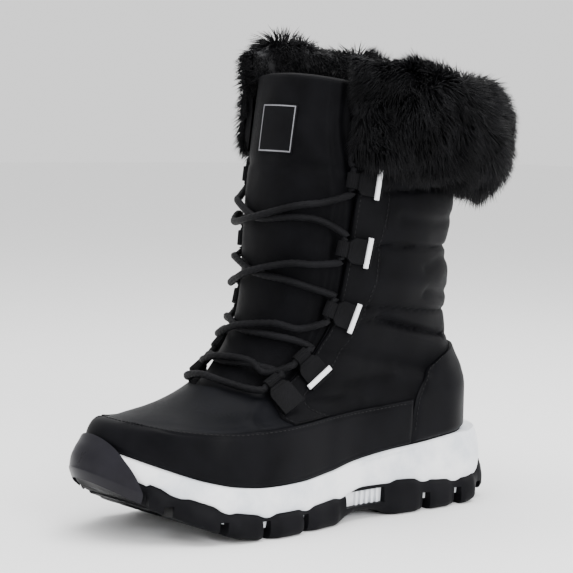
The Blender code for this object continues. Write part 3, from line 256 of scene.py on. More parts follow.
# Quilting seams of the shaft: level of each at its turn from the facing back to the heel
SEAMS = Table("turn diagonal ankle middle hem", (
    (0.00, 0.640, 0.665, 0.775, 0.875), (0.46, 0.618, 0.645, 0.770, 0.885),
    (0.58, 0.582, 0.622, 0.762, 0.898), (0.78, 0.515, 0.592, 0.758, 0.908),
    (1.00, 0.470, 0.580, 0.755, 0.910),
))

# Creases of the worn shape: each is a line of (turn, level) with width and depth in mm
CREASES = (
    (((0.48, 0.622), (0.59, 0.580), (0.80, 0.510)), 2.2, -1.5),
    (((0.33, 0.585), (0.42, 0.565), (0.58, 0.480), (0.71, 0.370)), 4.5, -1.3),
    (((0.34, 0.545), (0.44, 0.515), (0.60, 0.430)), 5.0, 1.2),
    (((0.37, 0.480), (0.50, 0.360), (0.56, 0.250)), 4.0, 0.9),
    (((0.40, 0.430), (0.54, 0.300)), 3.0, -0.7),
    (((0.44, 0.700), (0.60, 0.690), (0.75, 0.700)), 7.0, 0.9),
    (((0.62, 0.660), (0.80, 0.640), (0.95, 0.650)), 3.0, -0.9),
    (((0.50, 0.830), (0.66, 0.820), (0.84, 0.845)), 3.5, -0.8),
    (((0.60, 0.715), (0.74, 0.735), (0.92, 0.705)), 2.6, -0.7),
    (((0.24, 0.465), (0.29, 0.350), (0.34, 0.225)), 2.4, 0.7),
    (((-0.48, 0.622), (-0.59, 0.585), (-0.80, 0.520)), 2.4, -1.4),
    (((-0.33, 0.585), (-0.46, 0.555), (-0.62, 0.470)), 4.5, -1.2),
    (((-0.38, 0.480), (-0.50, 0.370), (-0.56, 0.260)), 4.0, 0.9),
    (((-0.46, 0.690), (-0.62, 0.700), (-0.78, 0.680)), 7.0, 0.9),
    (((-0.52, 0.825), (-0.70, 0.840), (-0.86, 0.820)), 3.5, -0.8),
)

# Facing beside the throat and its strap down to the band
FACING = Table("level front back", (
    (0.215, 0.408, 0.490), (0.300, 0.374, 0.452), (0.390, 0.328, 0.402), (0.440, 0.296, 0.372),
    (0.500, 0.262, 0.350), (0.560, 0.298, 0.388), (0.640, 0.333, 0.432), (0.760, 0.351, 0.452),
    (0.900, 0.358, 0.462),
))

# Top edge of the band round the foot, and the seam of the heel counter
BAND_TOP = Table("turn level", (
    (0.00, 0.270), (0.07, 0.262), (0.13, 0.242), (0.21, 0.215), (0.34, 0.208), (0.48, 0.212),
    (0.60, 0.200), (0.72, 0.200),
))
COUNTER = Table("place turn seam heel", (
    (0.00, 0.668, 0.076, 0.076), (0.30, 0.676, 0.190, 0.190), (0.55, 0.690, 0.290, 0.290),
    (0.75, 0.712, 0.365, 0.370), (0.88, 0.745, 0.405, 0.410), (0.95, 0.800, 0.425, 0.426),
    (1.00, 0.880, 0.432, 0.434),
))

# Section of the fur collar, and how much higher it stands on the inner side of the leg
FUR_SECTION = Table("step out up", (
    (0, 0.10, 0.00), (1, 0.50, -0.06), (2, 0.84, 0.03), (3, 1.00, 0.20), (4, 1.03, 0.42), (5, 0.95, 0.64),
    (6, 0.74, 0.84), (7, 0.40, 0.97), (8, 0.02, 1.00), (9, -0.26, 0.93), (10, -0.44, 0.78),
    (11, -0.40, 0.58), (12, -0.20, 0.46),
))
FUR_RISE = Table("turn rise", (
    (-1.00, 0.00), (-0.85, 0.12), (-0.60, 0.28), (-0.45, 0.23), (-0.32, 0.09), (0.30, 0.00), (1.00, 0.00),
))


def stack(x, y, z):
    return np.stack(np.broadcast_arrays(x, y, z), -1).astype(float)


def grid_of(rows, columns):
    return np.meshgrid(rows, columns, indexing="ij")


def round_angles(count):
    return np.linspace(0, 2 * math.pi, count, endpoint=False)


def side_of(turn):
    return np.where(turn >= 0, 1.0, -1.0)


def along_sole(share):
    return SOLE_LENGTH * (share - 0.5)


def as_turn(length):
    """The turn that a length takes up at the ball of the foot."""
    return length / (math.pi * BALL_WIDTH * 0.5)


def unit(v):
    return v / np.maximum(np.linalg.norm(v, axis=-1, keepdims=True), 1e-9)


def soft(value):
    """Smooth step from 0 to 1."""
    value = np.clip(value, 0, 1)
    return value * value * (3 - 2 * value)


def noise(points, size, seed):
    """Smooth noise from -1 to 1 with lumps of a size in millimetres."""
    lattice = np.random.RandomState(seed).uniform(-1, 1, (24, 24, 24))
    where = np.asarray(points) / size
    cell = np.floor(where).astype(int)
    t = where - cell
    t = t * t * (3 - 2 * t)
    total = 0.0
    for i in (0, 1):
        for j in (0, 1):
            for k in (0, 1):
                weight = (np.abs(1 - i - t[..., 0]) * np.abs(1 - j - t[..., 1])
                          * np.abs(1 - k - t[..., 2]))
                total = total + weight * lattice[(cell[..., 0] + i) % 24, (cell[..., 1] + j) % 24,
                                                 (cell[..., 2] + k) % 24]
    return total


def share_of(turn):
    return 0.5 + 0.5 * np.cos(np.pi * np.abs(turn))


def turn_of(share):
    return np.arccos(np.clip(2 * np.asarray(share, float) - 1, -1, 1)) / np.pi


def wrapped(turn):
    return (np.asarray(turn, float) + 1) % 2 - 1


def rounding(share):
    heel = np.maximum(0, 1 - share / HEEL_ROUND) ** 2.2
    toe = np.maximum(0, (share - 1 + TOE_ROUND) / TOE_ROUND) ** 2.3
    return np.sqrt(np.maximum(0, 1 - heel)) * np.sqrt(np.maximum(0, 1 - toe))


def plan(turn):
    """The sole's outline in plan."""
    turn = np.asarray(turn, float)
    share = share_of(turn)
    side = side_of(turn)
    half = PLAN.at("half", share) * rounding(share)
    return np.stack([along_sole(share), BALL_WIDTH * (PLAN.at("centre", share) + side * half)], -1)


def plan_inset(turn, inset):
    turn = np.asarray(turn, float)
    along = unit(plan(wrapped(turn + 0.004)) - plan(wrapped(turn - 0.004)))
    outwards = np.stack([-along[..., 1], along[..., 0]], -1)
    point = plan(turn)
    inner = np.stack([point[..., 0] * 0.8, 0 * point[..., 0]], -1)
    flip = np.sum(outwards * (point - inner), -1) < 0
    outwards = np.where(flip[..., None], -outwards, outwards)
    return point - outwards * np.asarray(inset)[..., None]


def rocker(share):
    bevel = np.maximum(0.0, 1 - share / HEEL_BEVEL_SHARE) ** 2
    return TOE_SPRING * SIDE.at("rocker", share) + HEEL_BEVEL * bevel


def wave_sag(share):
    ends = SIDE.at("wave", 0.0) * (1 - share) + SIDE.at("wave", 1.0) * share
    return WAVE_HEIGHT * (SIDE.at("wave", share) - ends)


def upper_surface(turn, level):
    turn, level = np.broadcast_arrays(np.asarray(turn, float), np.asarray(level, float))
    foot = UPPER.at("foot", level)
    front, back = along_sole(UPPER.at("front", level)), along_sole(UPPER.at("back", level))
    front_up = SHAFT_HEIGHT * UPPER.at("front_up", level)
    back_up = SHAFT_HEIGHT * UPPER.at("back_up", level)
    half = BALL_WIDTH * UPPER.at("half", level)
    side = side_of(turn)
    cosine, sine = np.cos(np.pi * np.abs(turn)), np.abs(np.sin(np.pi * turn))
    oval_share = 0.5 + 0.5 * np.sign(cosine) * np.abs(cosine) ** OVAL_POWER
    oval_width = side * sine ** OVAL_POWER
    along = foot * share_of(turn) + (1 - foot) * oval_share
    across = foot * 2 * plan(turn)[..., 1] / BALL_WIDTH + (1 - foot) * oval_width
    height = back_up + (front_up - back_up) * along + UPPER.at("hug", level) * wave_sag(along)
    return stack(back + (front - back) * along, half * across, height)


def upper_normal(turn, level):
    step = 0.006
    turn, level = np.broadcast_arrays(np.asarray(turn, float), np.asarray(level, float))
    low, high = np.maximum(level - step, 0.0), np.minimum(level + step, UPPER.data[-1, 0])
    round_it = upper_surface(wrapped(turn + step), level) - upper_surface(wrapped(turn - step), level)
    up_it = upper_surface(turn, high) - upper_surface(turn, low)
    normal = unit(np.cross(up_it, round_it))
    centre = (upper_surface(0 * turn, level) + upper_surface(0 * turn + 1, level)) / 2
    flip = np.sum(normal * (upper_surface(turn, level) - centre), -1) < 0
    return np.where(flip[..., None], -normal, normal)


def line_distance(points, line):
    """Distance of points to a line of joined points."""
    best = np.full(points.shape[:-1], 1e9)
    for a, b in zip(line[:-1], line[1:]):
        run = b - a
        t = np.clip(np.sum((points - a) * run, -1) / np.sum(run * run), 0, 1)
        best = np.minimum(best, np.linalg.norm(points - a - t[..., None] * run, axis=-1))
    return best


def smooth_line(line, steps=6):
    """A curve through points, with steps between each two."""
    line = np.asarray(line, float)
    padded = np.concatenate([2 * line[:1] - line[1:2], line, 2 * line[-1:] - line[-2:-1]])
    out = []
    for i in range(1, len(padded) - 2):
        p, q, r, s = padded[i - 1:i + 3]
        for k in range(steps):
            t = k / steps
            out.append(0.5 * (2 * q + (r - p) * t + (2 * p - 5 * q + 4 * r - s) * t ** 2
                              + (3 * q - p - 3 * r + s) * t ** 3))
    out.append(line[-1])
    return np.array(out)


def run_along(points):
    """Distance along the first axis of a line or a grid of points."""
    step = np.linalg.norm(np.diff(points, axis=0), axis=-1)
    return np.concatenate([0 * step[:1], np.cumsum(step, 0)])


def at_places(places, run, line):
    """Points of a line at distances along it."""
    return np.stack([np.interp(places, run, line[:, k]) for k in range(3)], -1)


def raised(base, normal, height):
    return base + normal * np.asarray(height, float)[..., None]


def rounded(near, radius):
    """Share of the height that a rounded rim reaches at a distance from it."""
    return np.sqrt(1 - (1 - np.clip(near / radius, 0, 1)) ** 2)


def throat_past(turn, level):
    """How far a turn lies behind the throat's edge."""
    return np.abs(turn) - UPPER.at("throat", level)


def relief(turn, level):
    """Soft padding, seams and creases of the upper, as a height over its plain surface."""
    turn, level = np.broadcast_arrays(np.asarray(turn, float), np.asarray(level, float))
    points = upper_surface(turn, level)
    seams = [SEAMS.at(name, np.abs(turn)) for name in SEAM_NAMES]
    edges = [np.full(turn.shape, PAD_BOTTOM), *seams, np.full(turn.shape, PAD_TOP)]
    behind = PAD_FADE * throat_past(turn, level)
    fade = soft(behind) * soft((level - PAD_START) / 0.1)
    height = np.zeros(turn.shape)
    for share, low, high in zip(PAD_SHARES, edges, edges[1:]):
        phase = np.clip((level - low) / (high - low), 0, 1)
        height = height + PUFF * share * np.sin(np.pi * phase) ** 0.62 * fade
    for seam in seams:
        away = np.abs(level - seam) * SHAFT_HEIGHT
        height = height - SEAM_DEPTH * np.exp(-(away / SEAM_SPREAD) ** 2) * fade
    wobble = noise(points, 34.0, 3) * 0.7 + noise(points, 15.0, 4) * 0.30
    height = height + wobble * soft((level - 0.15) / 0.2) * soft(behind + 0.6)
    for line, width, depth in CREASES:
        line = smooth_line([upper_surface(t, l) for t, l in line])
        away = line_distance(points, line)
        height = height + CREASE_GAIN * depth * np.exp(-(away / width) ** 2)
    return height


def plain_point(turn, level, offset):
    """A point at an offset from the upper's plain surface."""
    return raised(upper_surface(turn, level), upper_normal(turn, level), offset)


def upper_point(turn, level, offset):
    """A point at an offset from the padded and creased upper."""
    return plain_point(turn, level, offset + relief(turn, level))


# ---- meshes

def add_object(name, data):
    item = bpy.data.objects.new(name, data)
    bpy.context.scene.collection.objects.link(item)
    return item


def solid(name, points, faces):
    """A mesh object from points in millimetres, with its faces turned outwards."""
    mesh = bpy.data.meshes.new(name)
    points = (np.asarray(points, float).reshape(-1, 3) + SHIFT) * MM
    mesh.from_pydata(points.tolist(), [], [list(map(int, f)) for f in faces])
    work = bmesh.new()
    work.from_mesh(mesh)
    bmesh.ops.recalc_face_normals(work, faces=work.faces)
    bmesh.ops.delete(work, geom=[v for v in work.verts if not v.link_faces], context="VERTS")
    work.to_mesh(mesh)
    work.free()
    return add_object(name, mesh)


def sharpen(item, degrees):
    item.data.set_sharp_from_angle(angle=math.radians(degrees))


def build(name, points, faces, material, replaced=(), sharp=50, materials=(), picks=None):
    """A smooth piece with its materials, riding on the root body."""
    item = solid(name, points, faces)
    mesh = item.data
    mesh.shade_smooth()
    sharpen(item, sharp)
    for entry in (material, *materials):
        mesh.materials.append(entry)
    if picks is not None:
        mesh.polygons.foreach_set("material_index", np.asarray(picks, np.int32))
    dress(item, replaced)
    return item


def dress(item, replaced):
    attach(item, "root")
    if replaced:
        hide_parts(*replaced)


def grid_faces(rows, columns, start=0, closed=False, back=False):
    r, c = grid_of(np.arange(rows - 1) * columns, np.arange(columns if closed else columns - 1))
    d = (c + 1) % columns
    quads = np.stack([r + c, r + d, r + d + columns, r + c + columns], -1).reshape(-1, 4) + start
    return quads[:, ::-1] if back else quads


def wall(outer, inner):
    """Points and faces of a wall between two grids of points, closed at its rims."""
    rows, columns = outer.shape[:2]
    count = rows * columns
    c, r = np.arange(columns - 1), np.arange(rows - 1) * columns
    last, end = c + (rows - 1) * columns, r + columns - 1
    faces = [grid_faces(rows, columns), grid_faces(rows, columns, count, back=True)]
    for rim in ([c, count + c, count + c + 1, c + 1], [last, last + 1, count + last + 1, count + last],
                [r, r + columns, count + r + columns, count + r],
                [end, count + end, count + end + columns, end + columns]):
        faces.append(np.stack(rim, -1))
    return np.concatenate([outer.reshape(-1, 3), inner.reshape(-1, 3)]), np.concatenate(faces)


def tube(rings):
    """Points and faces of closed rings with flat ends."""
    rings = np.array(rings)
    rows, columns = rings.shape[:2]
    faces = [*grid_faces(rows, columns, closed=True), range(columns),
             range((rows - 1) * columns, rows * columns)]
    return rings.reshape(-1, 3), faces


def edge_distance(points):
    """Distance of each grid point to the nearest rim, measured along the grid."""
    down, over = run_along(points), run_along(points.transpose(1, 0, 2)).T
    return np.minimum(np.minimum(down, down[-1:] - down), np.minimum(over, over[:, -1:] - over))


def inset_line(grid, distance):
    """The line that lies a distance in from the last row of a grid."""
    back = grid[::-1]
    run = run_along(back)
    return np.array([at_places(distance, run[:, c], back[:, c]) for c in range(back.shape[1])])


THREADS = []


def sew(outer, normal, sides):
    """Note the lines of thread that run inside the named edges of a patch."""
    turned = {"top": (outer, normal),
              "front": [grid[:, ::-1].transpose(1, 0, 2) for grid in (outer, normal)],
              "back": [grid.transpose(1, 0, 2) for grid in (outer, normal)]}
    for side in sides:
        grid, ways = turned[side]
        line = inset_line(grid, SEAM_INSET)
        THREADS.append((line[3:-3], ways[-1][3:-3]))


def make_threads(m):
    """Short threads with pinched ends, laid along the noted lines."""
    points, faces = [], []
    sides = 6
    rings = ((-1.0, 0.02), (-0.62, 0.75), (0.0, 1.0), (0.62, 0.75), (1.0, 0.02))
    for line, ways in THREADS:
        run = run_along(line)
        for place in np.arange(STITCH_STEP, run[-1] - STITCH_STEP, STITCH_STEP):
            first, last = [at_places(place + reach * STITCH_LENGTH, run, line) for reach in (-0.5, 0.5)]
            up = unit(at_places(place, run, ways))
            along = last - first
            side = unit(np.cross(along, up))
            start = len(points)
            for reach, size in rings:
                centre = (first + last) / 2 + along * reach / 2 + up * (0.16 * size - 0.05)
                for k in range(sides):
                    angle = 2 * math.pi * k / sides
                    around = side * math.cos(angle) + up * math.sin(angle)
                    points.append(centre + STITCH_RADIUS * size * around)
            for r in range(len(rings) - 1):
                for k in range(sides):
                    a, b = start + r * sides + k, start + r * sides + (k + 1) % sides
                    faces.append([a, b, b + sides, a + sides])
            faces.append([start + k for k in range(sides)][::-1])
            faces.append([start + (len(rings) - 1) * sides + k for k in range(sides)])
    build("seam_threads", np.array(points), faces, m["thread"], [], 60)


def patch(name, turn, level, thick, material, replaced, extra=0.0, sewn=()):
    """A layer sewn on the upper, with soft rounded edges, that follows its relief."""
    base, normal = upper_surface(turn, level), upper_normal(turn, level)
    seat = relief(turn, level) + extra + PATCH_SEAT
    near = edge_distance(base)
    stitch_row = -SEAM_SINK * np.exp(-((near - SEAM_INSET) / 0.5) ** 2)
    outer = raised(base, normal, seat + thick * rounded(near, PATCH_EDGE) + stitch_row)
    points, faces = wall(outer, raised(base, normal, seat - 0.1))
    sew(outer, normal, sewn)
    return build(name, points, faces, material, replaced)


def cut(item, cutter, operation="DIFFERENCE"):
    modifier = item.modifiers.new("cut", "BOOLEAN")
    modifier.operation = operation
    modifier.solver = "EXACT"
    modifier.object = cutter
    graph = bpy.context.evaluated_depsgraph_get()
    mesh = bpy.data.meshes.new_from_object(item.evaluated_get(graph))
    item.modifiers.clear()
    old = item.data
    item.data = mesh
    bpy.data.meshes.remove(old)
    bpy.data.objects.remove(cutter)


def cutter_between(ends):
    """A closed cutter between two outlines with as many points each."""
    count = len(ends[0])
    faces = [range(count), range(2 * count - 1, count - 1, -1)]
    faces += [(i, count + i, count + (i + 1) % count, (i + 1) % count) for i in range(count)]
    return solid("cutter", np.concatenate(ends), faces)


def prism(outline, axis, low, high):
    """A cutter: an outline extruded along an axis from low to high."""
    return cutter_between([[(a, level, b) if axis == "y" else (a, b, level) for a, b in outline]
                           for level in (low, high)])


# ---- materials

def shader(name, colour, roughness, **sockets):
    material = bpy.data.materials.new(name)
    material.use_nodes = True
    node = material.node_tree.nodes["Principled BSDF"]
    node.inputs["Base Color"].default_value = (*colour, 1)
    node.inputs["Roughness"].default_value = roughness
    for key, value in sockets.items():
        node.inputs[key.replace("_", " ")].default_value = value
    return material, node


def add_node(material, kind, **values):
    node = material.node_tree.nodes.new(kind)
    for key, value in values.items():
        if key in node.inputs:
            node.inputs[key].default_value = value
        else:
            setattr(node, key, value)
    return node


def link(material, source, target):
    material.node_tree.links.new(source, target)


NOISE, WAVE, CELLS = "ShaderNodeTexNoise", "ShaderNodeTexWave", "ShaderNodeTexVoronoi"


def texture(material, kind, scale, **values):
    """Value of a procedural texture in the boot's own metres."""
    place = material.node_tree.nodes.get("Texture Coordinate") or add_node(material, "ShaderNodeTexCoord")
    node = add_node(material, kind, Scale=scale, **values)
    link(material, place.outputs["Object"], node.inputs["Vector"])
    return node.outputs["Distance" if kind == CELLS else "Fac"]


def vary(material, node, socket, source, low, high, start=0.3, end=0.7):
    """Drive a colour or a number by a texture between two values."""
    span = add_node(material, "ShaderNodeMapRange", **{"From Min": start, "From Max": end})
    link(material, source, span.inputs["Value"])
    result = span.outputs["Result"]
    if isinstance(low, tuple):
        mix = add_node(material, "ShaderNodeMix", data_type="RGBA")
        mix.inputs[6].default_value, mix.inputs[7].default_value = (*low, 1), (*high, 1)
        link(material, result, mix.inputs[0])
        result = mix.outputs[2]
    else:
        span.inputs["To Min"].default_value, span.inputs["To Max"].default_value = low, high
    link(material, result, node.inputs[socket])


def bumps(material, node, layers):
    """Stack bump layers of (texture output, strength, distance in mm)."""
    last = None
    for source, strength, distance in layers:
        bump = add_node(material, "ShaderNodeBump")
        bump.inputs["Strength"].default_value = strength
        bump.inputs["Distance"].default_value = distance * MM
        link(material, source, bump.inputs["Height"])
        if last is not None:
            link(material, last.outputs["Normal"], bump.inputs["Normal"])
        last = bump
    link(material, last.outputs["Normal"], node.inputs["Normal"])


def drifting(name, dark, light, roughness, gloss, less, more, scale, detail):
    """A material whose colour and roughness drift slowly."""
    material, node = shader(name, light, roughness, Specular_IOR_Level=gloss)
    slow = texture(material, NOISE, scale, Detail=detail)
    vary(material, node, "Base Color", slow, dark, light)
    vary(material, node, "Roughness", slow, roughness - less, roughness + more)
    return material, node, slow


def cloth(name, dark, light, roughness, weave, bump, gloss=0.035):
    """Woven fabric: crossed threads and slow shifts of colour."""
    material, node, _ = drifting(name, dark, light, roughness, gloss, 0.06, 0.08, 60, 3.0)
    layers = [(texture(material, WAVE, weave, Distortion=0.6, Detail=1.0, bands_direction=way), bump, 0.12)
              for way in ("DIAGONAL", "Z")]
    bumps(material, node, layers + [(texture(material, NOISE, 900, Detail=2.0), 0.2, 0.15)])
    return material


def rubber(name, dark, light, roughness, gloss):
    material, node, slow = drifting(name, dark, light, roughness, gloss, 0.07, 0.09, 45, 4.0)
    bumps(material, node, [(texture(material, NOISE, 1400, Detail=2.0), 0.15, 0.1), (slow, 0.1, 0.6)])
    return material


def leather(name, dark, light, roughness):
    material, node, slow = drifting(name, dark, light, roughness, 0.04, 0.05, 0.08, 50, 4.0)
    bumps(material, node, [(texture(material, CELLS, 900), 0.22, 0.12),
                           (texture(material, NOISE, 1600, Detail=2.0), 0.15, 0.08), (slow, 0.12, 0.8)])
    return material


def foam(name):
    material, node = shader(name, (0.70, 0.72, 0.75), 0.5, Specular_IOR_Level=0.35)
    slow = texture(material, NOISE, 38, Detail=6.0, Roughness=0.6)
    vary(material, node, "Base Color", slow, (0.64, 0.67, 0.72), (0.86, 0.87, 0.89), 0.38, 0.62)
    bumps(material, node, [(texture(material, NOISE, 1100, Detail=2.0), 0.12, 0.1), (slow, 0.15, 0.5)])
    return material


def make_materials():
    hair, node = shader("fur_hair", (0.0012, 0.0012, 0.0014), 0.40, Specular_IOR_Level=0.10)
    # Hair colour drifts at random between lumps of the pile; its lighter patches are also painted highlights
    # of the fur's sheen.
    tone = texture(hair, NOISE, 55, Detail=3.0)
    vary(hair, node, "Base Color", tone, (0.0018, 0.0018, 0.0022), (0.0090, 0.0090, 0.0102))
    tab, node = shader("white_bar", (0.82, 0.83, 0.85), 0.4)
    tone = texture(tab, NOISE, 2200, Detail=2.0)
    vary(tab, node, "Base Color", tone, (0.72, 0.73, 0.75), (0.88, 0.89, 0.91))
    bumps(tab, node, [(tone, 0.2, 0.1)])
    made = {"foam": foam("white_foam"), "fur": hair, "tab": tab}
    for key, make, name, dark, light, *rest in (
            ("rubber", rubber, "sole_rubber", (0.0040, 0.0040, 0.0048), (0.0072, 0.0072, 0.0084),
             0.50, 0.035),
            ("bumper", rubber, "toe_rubber", (0.0090, 0.0086, 0.0112), (0.0150, 0.0144, 0.0186),
             0.34, 0.12),
            ("band", leather, "band_leather", (0.0025, 0.0025, 0.0031), (0.0047, 0.0047, 0.0058), 0.42),
            ("nylon", cloth, "shaft_nylon", (0.0021, 0.0021, 0.0026), (0.0042, 0.0042, 0.0051),
             0.46, 1500, 0.35, 0.03),
            ("vamp", cloth, "vamp_nylon", (0.0034, 0.0036, 0.0045), (0.0056, 0.0058, 0.0073),
             0.36, 1500, 0.25, 0.04),
            ("facing", cloth, "facing_webbing", (0.0026, 0.0026, 0.0031), (0.0046, 0.0046, 0.0054),
             0.5, 1100, 0.35, 0.03),
            ("loop", cloth, "loop_webbing", (0.0025, 0.0025, 0.0029), (0.0054, 0.0054, 0.0062),
             0.5, 900, 0.6, 0.05),
            ("lining", cloth, "lining", (0.0022, 0.0022, 0.0026), (0.0042, 0.0042, 0.0048),
             0.85, 700, 0.6, 0.02),
            ("lace", cloth, "lace_cord", (0.0027, 0.0027, 0.0033), (0.0072, 0.0072, 0.0084),
             0.5, 1300, 0.6, 0.07),
            ("thread", cloth, "seam_thread", (0.0060, 0.0060, 0.0068), (0.0110, 0.0110, 0.0120),
             0.5, 2600, 0.3, 0.1),
            ("label", cloth, "label_weave", (0.0031, 0.0031, 0.0037), (0.0056, 0.0056, 0.0067),
             0.6, 1800, 0.3),
            ("frame", cloth, "label_frame", (0.14, 0.14, 0.15), (0.24, 0.24, 0.26), 0.6, 1800, 0.3)):
        made[key] = make(name, dark, light, *rest)
    return made


# ---- sole

def lug_relief(share):
    notches = [*HEEL_GROOVES.values("outer"), *GROOVES.values("outer"), WINDOW_START, WINDOW_END]
    nearest = np.min(np.abs(np.asarray(share)[..., None] - notches), -1) * SOLE_LENGTH
    plain = ((share > WINDOW_START) & (share < WINDOW_END)) | (share > 0.93)
    return np.where(plain, 0.0, LUG_RELIEF * soft((nearest - 1.2) / (1.1 * GROOVE_WIDTH)))


def arch(share):
    phase = np.clip((share - WINDOW_START) / (WINDOW_END - WINDOW_START), 0, 1)
    return ARCH_RISE * np.sqrt(np.sin(np.pi * phase))


def rim_height(share):
    return rocker(share) + RIM_HEIGHT * SIDE.at("rim", share) + 1.7 * lug_relief(share) / LUG_RELIEF


def ring_turns(count):
    """Turns once round, evenly spaced."""
    return wrapped(np.arange(count) * 2 / count)


def at_height(turn, inset, height):
    flat = plan_inset(turn, inset)
    return stack(flat[..., 0], flat[..., 1], height)


def loft(rings):
    """Points and faces of closed rings, with both ends capped by a fan of quads."""
    rings = np.array(rings)
    rows, columns = rings.shape[:2]
    faces = list(grid_faces(rows, columns, closed=True))
    for start in (0, (rows - 1) * columns):
        for c in range(columns // 2):
            corners = dict.fromkeys((c, c + 1, columns - c - 1, (columns - c) % columns))
            faces.append([start + place for place in corners])
    return rings.reshape(-1, 3), faces


def groove_outline(groove, way):
    middle, outer, outer_knee, inner_knee, inner = [along_sole(share) for share in groove]
    wide = BALL_WIDTH * 0.62
    knee = BALL_WIDTH * KNEE_OUT * (0.85 if way > 0 else 1.0)
    half = GROOVE_WIDTH / 2
    front, back = -way * half, way * half
    shoulder = middle + way * 1.6 * half
    return [(outer + front, wide), (outer_knee + front, knee), (middle + front, 0),
            (inner_knee + front, -knee), (inner + front, -wide), (inner + back, -wide),
            (inner_knee + back, -knee), (shoulder, -GROOVE_POINT), (middle + way * GROOVE_SPIKE, 0),
            (shoulder, GROOVE_POINT), (outer_knee + back, knee), (outer + back, wide)]


def window_cutters():
    cutters = []
    half = GROOVE_WIDTH / 2
    start, end = along_sole(WINDOW_START), along_sole(WINDOW_END)
    for side in (1, -1):
        turns = turn_of(np.linspace(WINDOW_START, WINDOW_END, 9))
        edge = plan(side * turns)
        edge[0, 0], edge[-1, 0] = start + half, end - half
        top = ARCH_RISE + STRIP
        inner = [(x, y - side * WINDOW_DEPTH) for x, y in edge[::-1]]
        cutters.append(prism([(x, y + side * 9) for x, y in edge] + inner, "z", top, top + WINDOW_HEIGHT))
        cutters.append(prism([(x, y - side * (STRIP + 1)) for x, y in edge] + inner, "z", -PLATE, top + 1))
    return cutters


def sipe_cutters():
    """Short slits across each half of the lugs."""
    cutters = []
    middles = [*GROOVES.values("middle"), SIPE_LAST]
    half, reach = SIPE_WIDTH / 2, SIPE_LENGTH / 2
    for low, high in zip(middles[:-1], middles[1:]):
        for side in (1, -1):
            share = (low + high) / 2 + SIPE_AHEAD
            x, y = along_sole(share), side * BALL_WIDTH * SIPE_ACROSS
            lean = side * SIPE_LEAN
            outline = [(x - half - lean, y - reach), (x + half - lean, y - reach),
                       (x + half + lean, y + reach), (x - half + lean, y + reach)]
            floor = float(rocker(np.array(share)))
            cutters.append(prism(outline, "z", floor - 8, floor + 2.0))
    return cutters


def oval_cutter():
    """Oval hole through the plate of the waist."""
    a = round_angles(48)
    x = along_sole(OVAL_ALONG) + OVAL_LENGTH / 2 * np.cos(a)
    y = BALL_WIDTH * OVAL_ACROSS + OVAL_WIDTH / 2 * np.sin(a)
    return prism(list(zip(x, y)), "z", -PLATE, PLATE + 1)


def make_outsole(m):
    turn = ring_turns(RING_COUNT)
    share = share_of(turn)
    floor, lug, rise, rim = rocker(share), lug_relief(share), arch(share), rim_height(share)
    low = floor + rise
    middle = floor + 0.55 * RIM_HEIGHT * SIDE.at("rim", share) + 2.0
    profile = ((5.0 - lug, low), (4.0 - lug, low), (2.9 - lug, low + 0.35), (1.5 - lug, low + 1.5),
               (0.8 - lug, low + 3.0), (0.45 - 0.9 * lug, (low + 3 + middle) / 2), (0.3 - 0.6 * lug, middle),
               (0.7 - 0.25 * lug, (middle + rim) / 2 + 0.6), (1.3, rim - 0.5), (1.9, rim), (2.8, rim - 0.1),
               (RIM_THICKNESS, rim - 0.8), (RIM_THICKNESS + 1, floor + PLATE))
    rings = [at_height(turn, inset, height) for inset, height in profile]
    points, faces = loft(rings)
    item = build("sole_tread", points, faces, m["rubber"], ["outsole"], 35)
    for rows, way in ((GROOVES.data, -1), (HEEL_GROOVES.data, 1)):
        for groove in rows:
            lift = float(rocker(groove[0])) if way < 0 else 0.0
            cut(item, prism(groove_outline(groove, way), "z", lift - 12, lift + NOTCH_HEIGHT))
    for cutter in window_cutters() + sipe_cutters() + [oval_cutter()]:
        cut(item, cutter)
    sharpen(item, 35)
    return item


